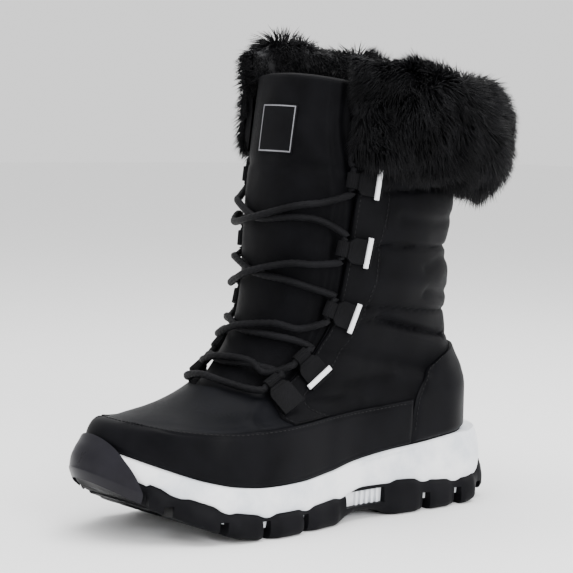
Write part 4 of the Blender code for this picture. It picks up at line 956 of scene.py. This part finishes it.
def make_midsole(m):
    turn = ring_turns(RING_COUNT)
    share = share_of(turn)
    side = side_of(turn)
    rim = rim_height(share)
    top = upper_surface(turn, RIM_LEVEL)[..., 2]
    floor = rocker(share)

    def face(share_up, inset):
        return at_height(turn, inset, rim + GAP + (top - rim - GAP) * share_up)

    def lip(share_up, inset, clear):
        point = face(share_up, inset)
        back, front = UPPER.at("back", RIM_LEVEL), UPPER.at("front", RIM_LEVEL)
        place = (point[:, 0] / SOLE_LENGTH + 0.5 - back) / (front - back)
        beside = upper_surface(side * turn_of(place), RIM_LEVEL)[:, 1]
        least = side * beside + GAP + clear
        inside = (place > 0) & (place < 1)
        point[:, 1] = np.where(inside, side * np.maximum(side * point[:, 1], least), point[:, 1])
        return point

    cup = [plain_point(turn, level, GAP / 2) for level in (RIM_LEVEL, 0.03)]
    bed = plain_point(turn, 0.0, GAP / 2)
    bed[:, 2] = np.minimum(plain_point(turn, 0.0, 0.0)[:, 2], plain_point(turn, 0.0, -UPPER_WALL)[:, 2]) - GAP
    rings = [at_height(turn, RIM_THICKNESS + 1.3, floor + PLATE + GAP),
             at_height(turn, RIM_THICKNESS + GAP, rim - 0.6 + GAP),
             at_height(turn, 1.5, rim + 0.15), face(0.04, 0.9), face(0.14, 0.6), face(0.3, 0.75),
             face(0.5, 1.3), face(0.7, LIP_INSET - 0.2), face(0.85, LIP_INSET + 0.8),
             lip(0.95, 2 * LIP_INSET - 0.8, LIP + 0.4), lip(1.0, 2 * LIP_INSET - 0.2, LIP - 0.2), *cup, bed]
    points, faces = loft(rings)
    item = build("foam_unit", points, faces, m["foam"], ["midsole"], 50)
    low, high = ARCH_RISE + STRIP + GAP, ARCH_RISE + STRIP + WINDOW_HEIGHT - GAP
    half = RIB_WIDTH / 2
    for way in SIDE_NAMES:
        for i in range(RIB_COUNT):
            where = way * turn_of(WINDOW_START + (RIB_FIRST + RIB_PITCH * i) / SOLE_LENGTH)
            out = plan_inset(where, RIM_THICKNESS + 1.3 - RIB_PROUD)
            root = plan_inset(where, 2 * RIM_THICKNESS)
            outline = [(out[0] - half * 0.7, out[1]), (out[0] + half * 0.7, out[1]),
                       (out[0] + half, root[1]), (out[0] - half, root[1])]
            cut(item, prism(outline, "z", low, high), "UNION")
    sharpen(item, 50)
    return item


BUMPER_EDGE = Table("up along", (
    (0.00, 0.936), (0.45, 0.940), (0.54, 0.944), (0.64, 0.950),
    (0.75, 0.958), (0.86, 0.968), (0.95, 0.981), (1.00, 0.995),
))


def make_bumper(m):
    """Smooth rubber cap round the toe; its back edge is rounded down to the foam."""
    turn = np.linspace(-0.20, 0.20, 81)
    share = share_of(turn)
    floor, high = rocker(share), upper_surface(turn, RIM_LEVEL)[..., 2]
    over = 2 * GAP + OVERLAY

    def on_upper(level, offset):
        return plain_point(turn, level, over + offset)

    def lower(share_up, inset):
        return at_height(turn, inset, floor + (high - floor) * share_up)

    def smoothed(lines):
        lines = np.array(lines)
        return np.stack([smooth_line(lines[:, c], 5) for c in range(len(turn))], 1)

    thick = BUMPER_WALL
    inner = smoothed([at_height(turn, 0.5, floor + 3.3), at_height(turn, -GAP, floor + 9), lower(0.5, 0.2),
                      lower(0.75, 1.6), at_height(turn, 3.6, high + GAP),
                      *(on_upper(level, -0.4) for level in (RIM_LEVEL + 0.03, 0.13, 0.17, 0.20))])
    outer = smoothed([at_height(turn, 0.5 - 0.4 * thick, floor + 1.5),
                      at_height(turn, -GAP - 0.9 * thick, floor + 7),
                      lower(0.45, -thick), lower(0.75, 1.0 - thick), at_height(turn, 3.2 - thick, high),
                      on_upper(RIM_LEVEL + 0.025, 1.3 * thick), on_upper(0.13, 0.9 * thick),
                      on_upper(0.175, 0.65 * thick), on_upper(0.205, 0.2)])
    points, faces = wall(outer, inner)
    item = build("toe_cap", points, faces, m["bumper"], ["toe_bumper"], 40)
    far = SOLE_LENGTH * 0.6
    edge = [(float(along_sole(BUMPER_EDGE.at("along", up))), BUMPER_HEIGHT * up)
            for up in np.linspace(0, 1, 40)] + [(far, BUMPER_HEIGHT), (far, 0.0)]
    cut(item, prism(edge, "y", -BALL_WIDTH, BALL_WIDTH), "INTERSECT")
    bevel = item.modifiers.new("edge", "BEVEL")
    bevel.width = CAP_BEVEL * MM
    bevel.segments = 3
    bevel.limit_method = "ANGLE"
    bevel.angle_limit = math.radians(50)
    return item


# ---- upper

def make_upper(m):
    """Hollow padded wall, open at the collar and at the throat."""
    half_throat, half_side = 22, 92
    half = half_throat + half_side
    s = np.arange(2 * half)
    s = np.where(s <= half, s, s - 2 * half)
    levels = np.append(np.linspace(0, VAMP_LEVEL, 60), np.linspace(VAMP_LEVEL, COLLAR_LEVEL, 86)[1:])
    level, place = grid_of(levels, s)
    throat = UPPER.at("throat", level)
    away = np.abs(place)
    turn = np.where(away <= half_throat, throat * away / half_throat,
                    throat + (1 - throat) * (away - half_throat) / half_side) * np.where(place < 0, -1, 1)
    turn = np.clip(turn, -1, 1)
    outer = upper_point(turn, level, 0.0)
    inner = plain_point(turn, level, -UPPER_WALL)
    rows, columns = turn.shape
    count = rows * columns
    r, c = grid_of(np.arange(rows - 1), np.arange(columns))
    middle = np.where(c < half, c + 0.5, columns - c - 0.5)
    kept = (levels[:-1][:, None] < VAMP_LEVEL - 1e-6) | (middle > half_throat)
    d = (c + 1) % columns
    a, b = r * columns + c, r * columns + d
    e, f = b + columns, a + columns
    faces = [np.stack([a, b, e, f], -1)[kept], np.stack([a, f, e, b], -1)[kept] + count]
    for shift, axis, p, q in ((1, 0, a, b), (-1, 0, f, e), (1, 1, a, f), (-1, 1, b, e)):
        open_side = ~np.roll(kept, shift, axis)
        if axis == 0:
            open_side[0 if shift > 0 else -1] = True
        faces.append(np.stack([p, q, q + count, p + count], -1)[kept & open_side])
    faces = np.concatenate(faces)
    points = np.concatenate([outer.reshape(-1, 3), inner.reshape(-1, 3)])
    centre_turn, centre_level = np.abs(turn[r, c]), level[r, c]
    vamp = (centre_turn < FACING.at("front", centre_level) + 0.01) & (centre_level < VAMP_LEVEL)
    picks = np.zeros(len(faces), int)
    picks[:kept.sum()] = vamp[kept]
    picks[kept.sum():2 * kept.sum()] = 2
    item = build("padded_upper", points, faces, m["nylon"], ["upper"], 60,
                 (m["vamp"], m["lining"]), picks)
    for side in SIDE_NAMES:
        along = side * np.linspace(0.48, 0.97, 90)
        for seam in SEAM_NAMES:
            levels = SEAMS.at(seam, np.abs(along))
            THREADS.append((upper_point(along, levels, 0.1), upper_normal(along, levels)))


def make_band(m):
    """Smooth band round the foot, gathered in small pleats near the toe."""
    start = float(COUNTER.at("turn", 0.2)) - 0.002
    across = np.linspace(-start, start, 280)
    up = np.linspace(0, 1, 30)
    turn, share = np.meshgrid(across, up)
    top = BAND_TOP.at("level", np.abs(turn))
    level = RIM_LEVEL + 0.004 + (top - RIM_LEVEL - 0.004) * share
    near_toe = np.exp(-((np.abs(turn) - 0.11) / 0.05) ** 2)
    pleats = 0.6 * near_toe * share ** 3 * np.sin(np.abs(turn) * 620)
    sag = 0.7 * np.sin(np.pi * share) + noise(upper_surface(turn, level), 22, 9) * 0.45 * share
    return patch("foot_band", turn, level, 1.3, m["band"], ["mudguard"], extra=pleats + sag,
                 sewn=("top",))


def make_counter(m):
    place, u = grid_of(np.linspace(0, 1, 44), np.linspace(-1, 1, 91))
    begin = COUNTER.at("turn", place)
    turn = wrapped(1 + (1 - begin) * u)
    turn = np.where(np.abs(u) < 1e-9, 1.0, turn)
    seam, heel = COUNTER.at("seam", place), COUNTER.at("heel", place)
    level = heel + (seam - heel) * np.abs(u)
    return patch("heel_cup", turn, level, 1.5, m["band"], ["heel_counter"], extra=0.3,
                 sewn=("front", "back"))


def make_facings(m):
    for side, name in SIDE_NAMES.items():
        level, u = grid_of(np.linspace(*FACING_ENDS, 130), np.linspace(0, 1, 22))
        front, back = FACING.at("front", level), FACING.at("back", level)
        turn = side * (front + (back - front) * u)
        patch("throat_facing_" + name, turn, level, 1.15, m["facing"], ["facing_" + name],
              sewn=("front", "back"))


def make_insole(m):
    turn = ring_turns(160)
    level_z = upper_surface(turn, 0.0)[..., 2]

    def ring(inset, lift):
        point = plain_point(turn, 0.0, -UPPER_WALL - inset)
        point[:, 2] = level_z + lift
        return point

    points, faces = loft([ring(*at) for at in ((2.0, 0.0), (1.2, 1.2), (1.0, 2.8), (1.6, 3.7), (3.0, 4.0))])
    build("foot_bed", points, faces, m["lining"], ["insole"], 60)


def tongue_turn(level, u):
    free = np.clip((level - 0.84) / 0.12, 0, 1)
    return (UPPER.at("throat", level) + as_turn(TONGUE_TUCK) * (1 - 0.9 * free)) * u


def tongue_lift(level, u):
    """How far the padded tongue swells, with the folds of its gusset beside the facings."""
    side = soft((np.abs(u) - 0.55) / 0.3)
    folds = 0.8 * side * np.sin(np.abs(u) * 46 + level * 9)
    pad = 2.6 * (1 - u ** 2) * soft((level - 0.45) / 0.1)
    channels = -0.9 * np.exp(-((level - 0.915) / 0.006) ** 2) * (np.abs(u) < 0.9)
    return pad + folds + channels


def make_tongue(m):
    level, u = grid_of(np.linspace(*TONGUE_ENDS, 110), np.linspace(-1, 1, 76))
    turn = tongue_turn(level, u)
    middle = upper_surface(turn, level)
    normal = upper_normal(turn, level)
    bulge = rounded(edge_distance(middle), 3.0)
    seat = -UPPER_WALL - TONGUE_SEAT
    swell = TONGUE_HALF + tongue_lift(level, u) + noise(middle, 12, 21) * 0.5
    points, faces = wall(raised(middle, normal, seat + swell * bulge),
                         raised(middle, normal, seat - TONGUE_HALF * bulge))
    build("padded_tongue", points, faces, m["nylon"], ["tongue"], 60)


def make_label(m):
    """Plain dark patch with a light woven frame."""
    steps = 36
    level, v = grid_of(np.linspace(*LABEL_ENDS, steps), np.linspace(-1, 1, steps))
    turn = as_turn(LABEL_HALF) * v + LABEL_CENTRE
    u = turn / np.maximum(tongue_turn(level, 1.0), 1e-6)
    base = upper_surface(turn, level)
    normal = upper_normal(turn, level)
    seat = TONGUE_HALF - UPPER_WALL - TONGUE_SEAT + tongue_lift(level, u)
    points, faces = wall(raised(base, normal, seat + 0.5 + 0.7 * rounded(edge_distance(base), 0.8)),
                         raised(base, normal, seat + 0.2))
    rows = steps - 1
    r, c = grid_of(np.arange(rows), np.arange(rows))
    ring = np.minimum(np.minimum(r, c), np.minimum(rows - 1 - r, rows - 1 - c)).reshape(-1)
    picks = np.zeros(len(faces), int)
    picks[:rows * rows] = ring == 1
    build("tongue_patch", points, faces, m["label"], ["tongue_label"], 60,
          (m["frame"],), picks)


# ---- lacing

def loop_frame(row, side):
    level = LOOP_LEVELS[row]
    turn = side * UPPER.at("throat", level)

    def at(place, where):
        return plain_point(place, where, GAP + OVERLAY)

    base = at(turn, level)
    above, below = [at(side * UPPER.at("throat", there), there) for there in (level + 0.02, level - 0.02)]
    along = unit(above - below)
    forwards = base - at(turn + side * 0.03, level)
    forwards = unit(forwards - along * np.dot(forwards, along))
    out = unit(np.cross(along, forwards))
    if np.dot(out, upper_normal(turn, level)) < 0:
        out = -out
    lean = math.radians(LOOP_LEANS[row])
    base = base + out * (LOOP_SEATS[row] + 0.4) + forwards * (LOOP_WIDTH / 2 * math.sin(lean))
    leaned = along * math.cos(lean) - forwards * math.sin(lean)
    return base, leaned, forwards * math.cos(lean) + along * math.sin(lean), out


def make_loop(row, side, m):
    """Webbing folded round the lace, ribbed along its length."""
    base, along, forwards, out = loop_frame(row, side)
    radius = LOOP_BORE / 2 + LOOP_WALL
    back = -TAB_SETBACK - TAB_WIDTH - 0.6
    lift = LOOP_LIFT
    rim = [(back, lift - LOOP_DROP), (back / 2, lift - LOOP_DROP / 4), (-1.5, lift - 0.1), (1.2, lift - 0.6)]
    angles = np.radians(np.linspace(-135, 135, 22))
    rim += [(LOOP_REACH + radius * math.cos(a), LOOP_TUNNEL_UP + radius * math.sin(a)) for a in angles]
    rim += [(1.4, lift + LOOP_STRAP + 0.7), (-0.8, lift + LOOP_STRAP + 0.2),
            (back / 2, lift + LOOP_STRAP - LOOP_DROP / 4), (back, lift + LOOP_STRAP - LOOP_DROP)]
    rim = np.array(rim)
    fine = smooth_line(rim, 4)
    ahead = unit(np.gradient(fine, axis=0))
    side_way = np.stack([ahead[:, 1], -ahead[:, 0]], 1)
    fine = raised(fine, side_way, 0.13 * np.sin(run_along(fine) * 2 * math.pi / 1.25))
    shifts = LOOP_WIDTH / 2 * np.array([-1.0, -0.985, -0.93, -0.5, 0, 0.5, 0.93, 0.985, 1.0])
    shrink = np.array([0.35, 0.12, 0, 0, 0, 0, 0, 0.12, 0.35])
    rings = []
    taper = 1 - (1 - LOOP_NECK / LOOP_WIDTH) * soft((fine[:, :1] + 2.0) / 5.0)
    for shift, less in zip(shifts, shrink):
        outline = fine - side_way * less
        rings.append(base + forwards * outline[:, :1] + out * outline[:, 1:] + along * (shift * taper))
    points, faces = tube(rings)
    name = "%s_%d" % (SIDE_NAMES[side], row + 1)
    item = build("webbing_loop_" + name, points, faces, m["loop"], ["lace_loop_" + name], 45)
    centre = base + forwards * LOOP_REACH + out * LOOP_TUNNEL_UP
    a = round_angles(20)
    circle = forwards * np.cos(a)[:, None] + out * np.sin(a)[:, None]
    ends = [centre + circle * LOOP_BORE / 2 + along * way * LOOP_WIDTH for way in (-1, 1)]
    cut(item, cutter_between(ends))
    sharpen(item, 45)


def make_tab(row, side, m):
    """White bar sewn across the loop's strap, with rounded edges and a sunk stitch line."""
    base, along, forwards, out = loop_frame(row, side)
    bottom = LOOP_LIFT + LOOP_STRAP - LOOP_DROP * 0.3
    u, v = grid_of(np.linspace(-1, 1, 13), np.linspace(-1, 1, 41))
    flat = raised(raised(base, along, v * TAB_LENGTH / 2), forwards, u * TAB_WIDTH / 2 - TAB_SETBACK)
    near = edge_distance(flat)
    groove = -0.18 * np.exp(-((near - 0.95) / 0.18) ** 2)
    bottom = bottom + u * 0.12
    top = bottom + TAB_THICKNESS * (0.3 + 0.7 * rounded(near, 0.7)) + groove
    points, faces = wall(raised(flat, out, top), raised(flat, out, bottom - 0.25))
    name = "%s_%d" % (SIDE_NAMES[side], row + 1)
    build("bar_tab_" + name, points, faces, m["tab"], ["white_tab_" + name], 50)


def tunnel(row, side, ups):
    """Points along a loop's tunnel, in millimetres up from its middle."""
    base, along, forwards, out = loop_frame(row, side)
    centre = base + forwards * LOOP_REACH + out * LOOP_TUNNEL_UP
    return [centre + along * up for up in ups]


def lace_point(row, place, share, lift):
    """A point of the lace under a row, at a share of the turn to the throat's edge."""
    level = LOOP_LEVELS[row] + (LOOP_LEVELS[row + 1] - LOOP_LEVELS[row]) * share
    turn = UPPER.at("throat", level) * place
    return plain_point(turn, level, LACE_PROUD + lift)


def crossing(row, side):
    """Stops of the strand from a loop on one side to the next row's loop on the other."""
    from_near, from_half, middle, to_half, to_near = LACE_ROUTE[row]
    if side > 0:
        to_half += LACE_SPREAD
    over = 1.05 * LACE_RADIUS * (1 if side > 0 else -1) + 0.9
    stops = ((side * LACE_NEAR, from_near, 0.4), (side * LACE_HALF, from_half, 0.4 + over / 3),
             (0.0, middle, over), (-side * LACE_HALF, to_half, 0.4 + over / 3),
             (-side * LACE_NEAR, to_near, 0.4))
    return [lace_point(row, *stop) for stop in stops]


def lace_points():
    """One cord: down through the loops from side to side, across the bottom and up again."""
    half, clear = LOOP_NECK / 2 + 0.4, LOOP_NECK / 2 + LACE_CLEAR

    def run(side):
        forwards, out = loop_frame(0, side)[2:]
        points = [p + forwards * 1.5 - out * 2.0 for p in tunnel(0, side, (16, 10))]
        for row in range(len(LOOP_LEVELS)):
            points += tunnel(row, side, (clear, half, 0, -half, -clear))
            if row < len(LOOP_LEVELS) - 1:
                points += crossing(row, side)
            side = -side
        return points

    bar = []
    for place, level in ((0.72, 0.497), (0.42, 0.508), (0.0, 0.516), (-0.42, 0.508), (-0.72, 0.497)):
        bar.append(plain_point(-place * UPPER.at("throat", level), level, 3.6))
    left, right = run(-1), run(1)
    return np.array(left + bar + right[::-1])


def make_lace(m):
    path = smooth_line(lace_points(), 7)
    run = run_along(path)
    even = np.linspace(0, run[-1], int(run[-1] / 1.3))
    path = at_places(even, run, path)
    ahead = unit(np.gradient(path, axis=0))
    side = unit(np.cross(ahead, np.array([0, 0, 1.0])))
    over = np.cross(side, ahead)
    a = round_angles(14)
    turns = even[:, None] * 0.75
    radius = LACE_RADIUS + 0.11 * (np.sin(3 * a[None] + turns * 2) + np.sin(3 * a[None] - turns * 2))
    around = side[:, None] * np.cos(a)[:, None] + over[:, None] * np.sin(a)[:, None]
    points, faces = tube(raised(path[:, None], around, radius))
    build("lace", points, faces, m["lace"],
          ["lace_cross_%d" % k for k in range(1, len(LOOP_LEVELS))] + ["lace_bar"], 60)


# ---- fur

def growth(turn):
    """Share of its full size that the collar has reached behind the throat."""
    return np.clip(throat_past(turn, COLLAR_LEVEL) / FUR_BLEND, 0, 1)


def cuff_bottom(turn):
    return upper_surface(turn, COLLAR_LEVEL)[..., 2] - FUR_BELOW * (0.82 + 0.18 * growth(turn))


def level_at_height(turn, height):
    low, high = np.full(turn.shape, 0.5), np.full(turn.shape, COLLAR_LEVEL)
    for _ in range(20):
        middle = (low + high) / 2
        under = upper_surface(turn, middle)[..., 2] < height
        low, high = np.where(under, middle, low), np.where(under, high, middle)
    return (low + high) / 2


def fur_surface(turn, step):
    """Outer face of the collar's pile at a turn and a step of its section."""
    base = cuff_bottom(turn)
    top_point = upper_surface(turn, COLLAR_LEVEL)
    outwards = upper_normal(turn, COLLAR_LEVEL).copy()
    outwards[..., 2] = 0
    outwards = unit(outwards)
    thin, power = np.where(turn < 0, FUR_THIN_INNER, FUR_THIN), np.where(turn < 0, 0.85, 0.6)
    depth = FUR_DEPTH * (thin + (1 - thin) * growth(turn) ** power)
    lift = FUR_HEIGHT * FUR_RISE.at("rise", turn) - (base - top_point[..., 2] + FUR_BELOW)
    out, up = FUR_SECTION.at("out", step), FUR_SECTION.at("up", step)
    height = base + up * (FUR_HEIGHT + lift)
    near = upper_surface(turn, level_at_height(turn, height))
    inside = (UPPER_WALL + GAP) * np.clip(out / FUR_SECTION.values("out")[-1], 0, 1)
    over = np.clip(-throat_past(turn, COLLAR_LEVEL) / FUR_OVER, 0, 1) * FUR_OVER_LIFT
    point = raised(near, outwards, out * depth - inside + over)
    point[..., 2] = height
    return point


def fur_grid():
    throat = float(UPPER.at("throat", COLLAR_LEVEL))
    turn_raw = np.linspace(throat, 2 - throat + FUR_OVER, FUR_COLUMNS)
    turn = np.where(turn_raw > 1, turn_raw - 2, turn_raw)
    turn = np.where(np.abs(turn_raw - 1) < 1e-9, 1.0, turn)
    turn, step = grid_of(turn, np.linspace(0, 12, FUR_STEPS))
    return turn, step, fur_surface(turn, step)


def make_fur_base(m, grid):
    turn, _, surface = grid
    core = surface.mean(1, keepdims=True)
    body = surface + (core - surface) * FUR_UNDER
    lumps = noise(surface, 24, 30) * 2.4 + noise(surface, 10, 31) * 1.3
    body = raised(body, unit(surface - core), lumps)
    first = turn[:, 0]
    hold = [plain_point(first, level, -UPPER_WALL - GAP) for level in (FUR_HOLD, COLLAR_LEVEL)]
    hold = np.stack([*hold, upper_surface(first, COLLAR_LEVEL) + np.array([0, 0, 0.4]),
                     upper_point(first, FUR_HOLD, 0.2)], 1)
    points, faces = tube(np.concatenate([body, hold], 1))
    build("fur_pile", points, faces, m["fur"], ["fur_collar"], 80)
    return body


def make_hairs(name, roots, normals, tips_way, lengths, m, radius, seed):
    """Tapered curved hairs joined in one mesh: three sides, two rings, a point."""
    count = len(roots)
    rng = np.random.RandomState(seed)
    direction = unit(normals + tips_way)
    side = unit(np.cross(direction, unit(rng.normal(size=(count, 3)))))
    over = np.cross(direction, side)
    down = np.array([0, 0, -0.25])
    rings = []
    for place, thin in ((0.0, 1.0), (HAIR_BASE, 0.8)):
        centre = raised(raised(roots, direction, lengths * place), down, lengths * place ** 2)
        for k in range(3):
            angle = 2 * math.pi * k / 3
            rings.append(raised(centre, side * math.cos(angle) + over * math.sin(angle), radius * thin))
    tip = raised(raised(roots, direction, lengths), down, lengths)
    points = np.stack(rings + [tip], 1)
    starts = np.arange(count)[:, None, None] * 7
    quads = [(k, (k + 1) % 3, 3 + (k + 1) % 3, 3 + k) for k in range(3)]
    ends = [(0, 2, 1)] + [(3 + k, 3 + (k + 1) % 3, 6) for k in range(3)]
    quads, ends = [(np.array(faces)[None] + starts).reshape(-1, len(faces[0])) for faces in (quads, ends)]
    mesh = bpy.data.meshes.new(name)
    flat = (points.reshape(-1, 3) + SHIFT) * MM
    mesh.vertices.add(len(flat))
    mesh.vertices.foreach_set("co", flat.astype(np.float32).reshape(-1))
    corners = np.append(quads, ends)
    mesh.loops.add(len(corners))
    mesh.loops.foreach_set("vertex_index", corners.astype(np.int32))
    mesh.polygons.add(len(quads) + len(ends))
    begins = np.append(np.arange(len(quads)) * 4, quads.size + np.arange(len(ends)) * 3)
    mesh.polygons.foreach_set("loop_start", begins.astype(np.int32))
    mesh.update(calc_edges=True)
    mesh.validate()
    mesh.shade_smooth()
    mesh.materials.append(m["fur"])
    dress(add_object(name, mesh), [])


def make_fur(m):
    body = make_fur_base(m, fur_grid())
    along, down = np.gradient(body, axis=0), np.gradient(body, axis=1)
    normal = unit(np.cross(along, down))
    core = body.mean(1, keepdims=True)
    flip = np.sum(normal * (body - core), -1) < 0
    normal = np.where(flip[..., None], -normal, normal)
    area = np.linalg.norm(np.cross(along, down), axis=-1)[:-1, :-1].reshape(-1)
    for part, (seed, number) in enumerate(HAIR_SEEDS):
        rng = np.random.RandomState(seed)
        cell = rng.choice(len(area), number, p=area / area.sum())
        i, j = np.divmod(cell, FUR_STEPS - 1)
        s, t = rng.rand(number, 1), rng.rand(number, 1)

        def mixed(grid_values):
            return (grid_values[i, j] * (1 - s) * (1 - t) + grid_values[i + 1, j] * s * (1 - t)
                    + grid_values[i, j + 1] * (1 - s) * t + grid_values[i + 1, j + 1] * s * t)

        roots, out = mixed(body), unit(mixed(normal))
        locks = np.stack([noise(roots, 9.0, 40 + k) for k in range(3)], 1)
        flow = np.stack([noise(roots, 30.0, 50 + k) for k in range(3)], 1) + np.array([0, 0, -0.7])
        reach = np.clip((i + 14 - FUR_COLUMNS) / 12.0, 0, 1)[:, None]
        flow = flow + unit(mixed(along)) * reach * 2.2
        flow = unit(flow - out * np.sum(flow * out, -1, keepdims=True))
        sway = flow + locks * 0.9 + rng.normal(size=(number, 3)) * 0.16
        inner = np.clip((FUR_STEPS * 0.72 - j) / 8.0, 0.45, 1.0)
        fuller = 1 + 0.45 * np.clip(out[:, 2], 0, 1) - 0.25 * reach[:, 0]
        lengths = rng.uniform(*HAIR_LENGTH, number) * (1 + 0.2 * noise(roots, 14, 61)) * inner * fuller
        radius = rng.uniform(*HAIR_RADIUS, number)
        make_hairs("fur_hairs_%d" % (part + 1), roots - out, out, sway, lengths, m, radius, seed + 10)
    make_end_hairs(body, along, m)


def make_end_hairs(body, along, m):
    """Hairs on the two flat ends of the pile beside the throat."""
    rng = np.random.RandomState(105)
    for name, row, way, reach in (("outer", 0, -1, (5.0, 8.5)), ("inner", -1, 1, (5.0, 9.0))):
        ring, number = body[row], END_HAIRS
        core = ring.mean(0)
        pick = rng.randint(0, len(ring), number)
        roots = core + (ring[pick] - core) * np.sqrt(rng.rand(number, 1))
        out = unit(along[row].mean(0) * way + np.zeros((number, 3)))
        locks = np.stack([noise(roots, 9.0, 40 + k) for k in range(3)], 1)
        sway = (locks * 0.8 + (roots - core) * 0.04 + rng.normal(size=(number, 3)) * 0.16
                + np.array([0, 0, -0.5]))
        make_hairs("fur_end_" + name, roots - out, out, sway, rng.uniform(*reach, number), m,
                   rng.uniform(*HAIR_RADIUS, number), 115)


# ---- stage

def make_stage():
    mesh = bpy.data.meshes.new("floor")
    h, z = 6.0, -0.2 * MM
    mesh.from_pydata([(-h, -h, z), (h, -h, z), (h, h, z), (-h, h, z)], [], [(0, 1, 2, 3)])
    mesh.materials.append(shader("floor", (0.93, 0.93, 0.93), 0.7)[0])
    add_object("floor", mesh)


def area_light(name, place, target, size, power):
    data = bpy.data.lights.new(name, "AREA")
    data.shape = "RECTANGLE"
    data.size, data.size_y = size
    data.energy = power
    light = add_object(name, data)
    light.location = place
    light.rotation_euler = (Vector(target) - Vector(place)).to_track_quat("-Z", "Y").to_euler()


def make_lights():
    world = bpy.data.worlds.new("studio")
    world.use_nodes = True
    background = world.node_tree.nodes["Background"]
    background.inputs["Color"].default_value = (1, 1, 1, 1)
    background.inputs["Strength"].default_value = 1.25
    bpy.context.scene.world = world
    middle = (0.0, 0.0, 0.12)
    area_light("top", (0.0, 0.1, 1.4), middle, (1.2, 1.2), 28)
    area_light("key", (0.2, 1.5, 0.7), middle, (0.7, 1.0), 22)
    area_light("rim", (-1.1, 0.2, 0.8), middle, (0.5, 1.0), 6)


def make_camera():
    azimuth, elevation, distance = math.radians(38.96), math.radians(5.3), 1.150
    target = Vector((0.002137, 0.000081, 0.135))
    away = Vector((math.sin(azimuth) * math.cos(elevation), math.cos(azimuth) * math.cos(elevation),
                   math.sin(elevation)))
    data = bpy.data.cameras.new("camera")
    data.sensor_width = 36.0
    data.lens = 1928.7 * 36.0 / 573
    data.shift_x = -0.0115
    data.shift_y = 0.0031
    data.clip_start, data.clip_end = 0.05, 50.0
    camera = add_object("camera", data)
    camera.location = target + away * distance
    turn = (-away).to_track_quat("-Z", "Y").to_matrix()
    camera.rotation_euler = (turn @ Matrix.Rotation(math.radians(1.2), 3, "Z")).to_euler()
    bpy.context.scene.camera = camera


def main():
    m = make_materials()
    for make in (make_outsole, make_midsole, make_bumper, make_insole, make_upper, make_band, make_counter,
                 make_facings, make_tongue, make_label):
        make(m)
    for side in SIDE_NAMES:
        for row in range(len(LOOP_LEVELS)):
            make_loop(row, side, m)
            if row < TABBED_ROWS:
                make_tab(row, side, m)
    for make in (make_threads, make_lace, make_fur):
        make(m)
    make_stage()
    make_lights()
    make_camera()


main()
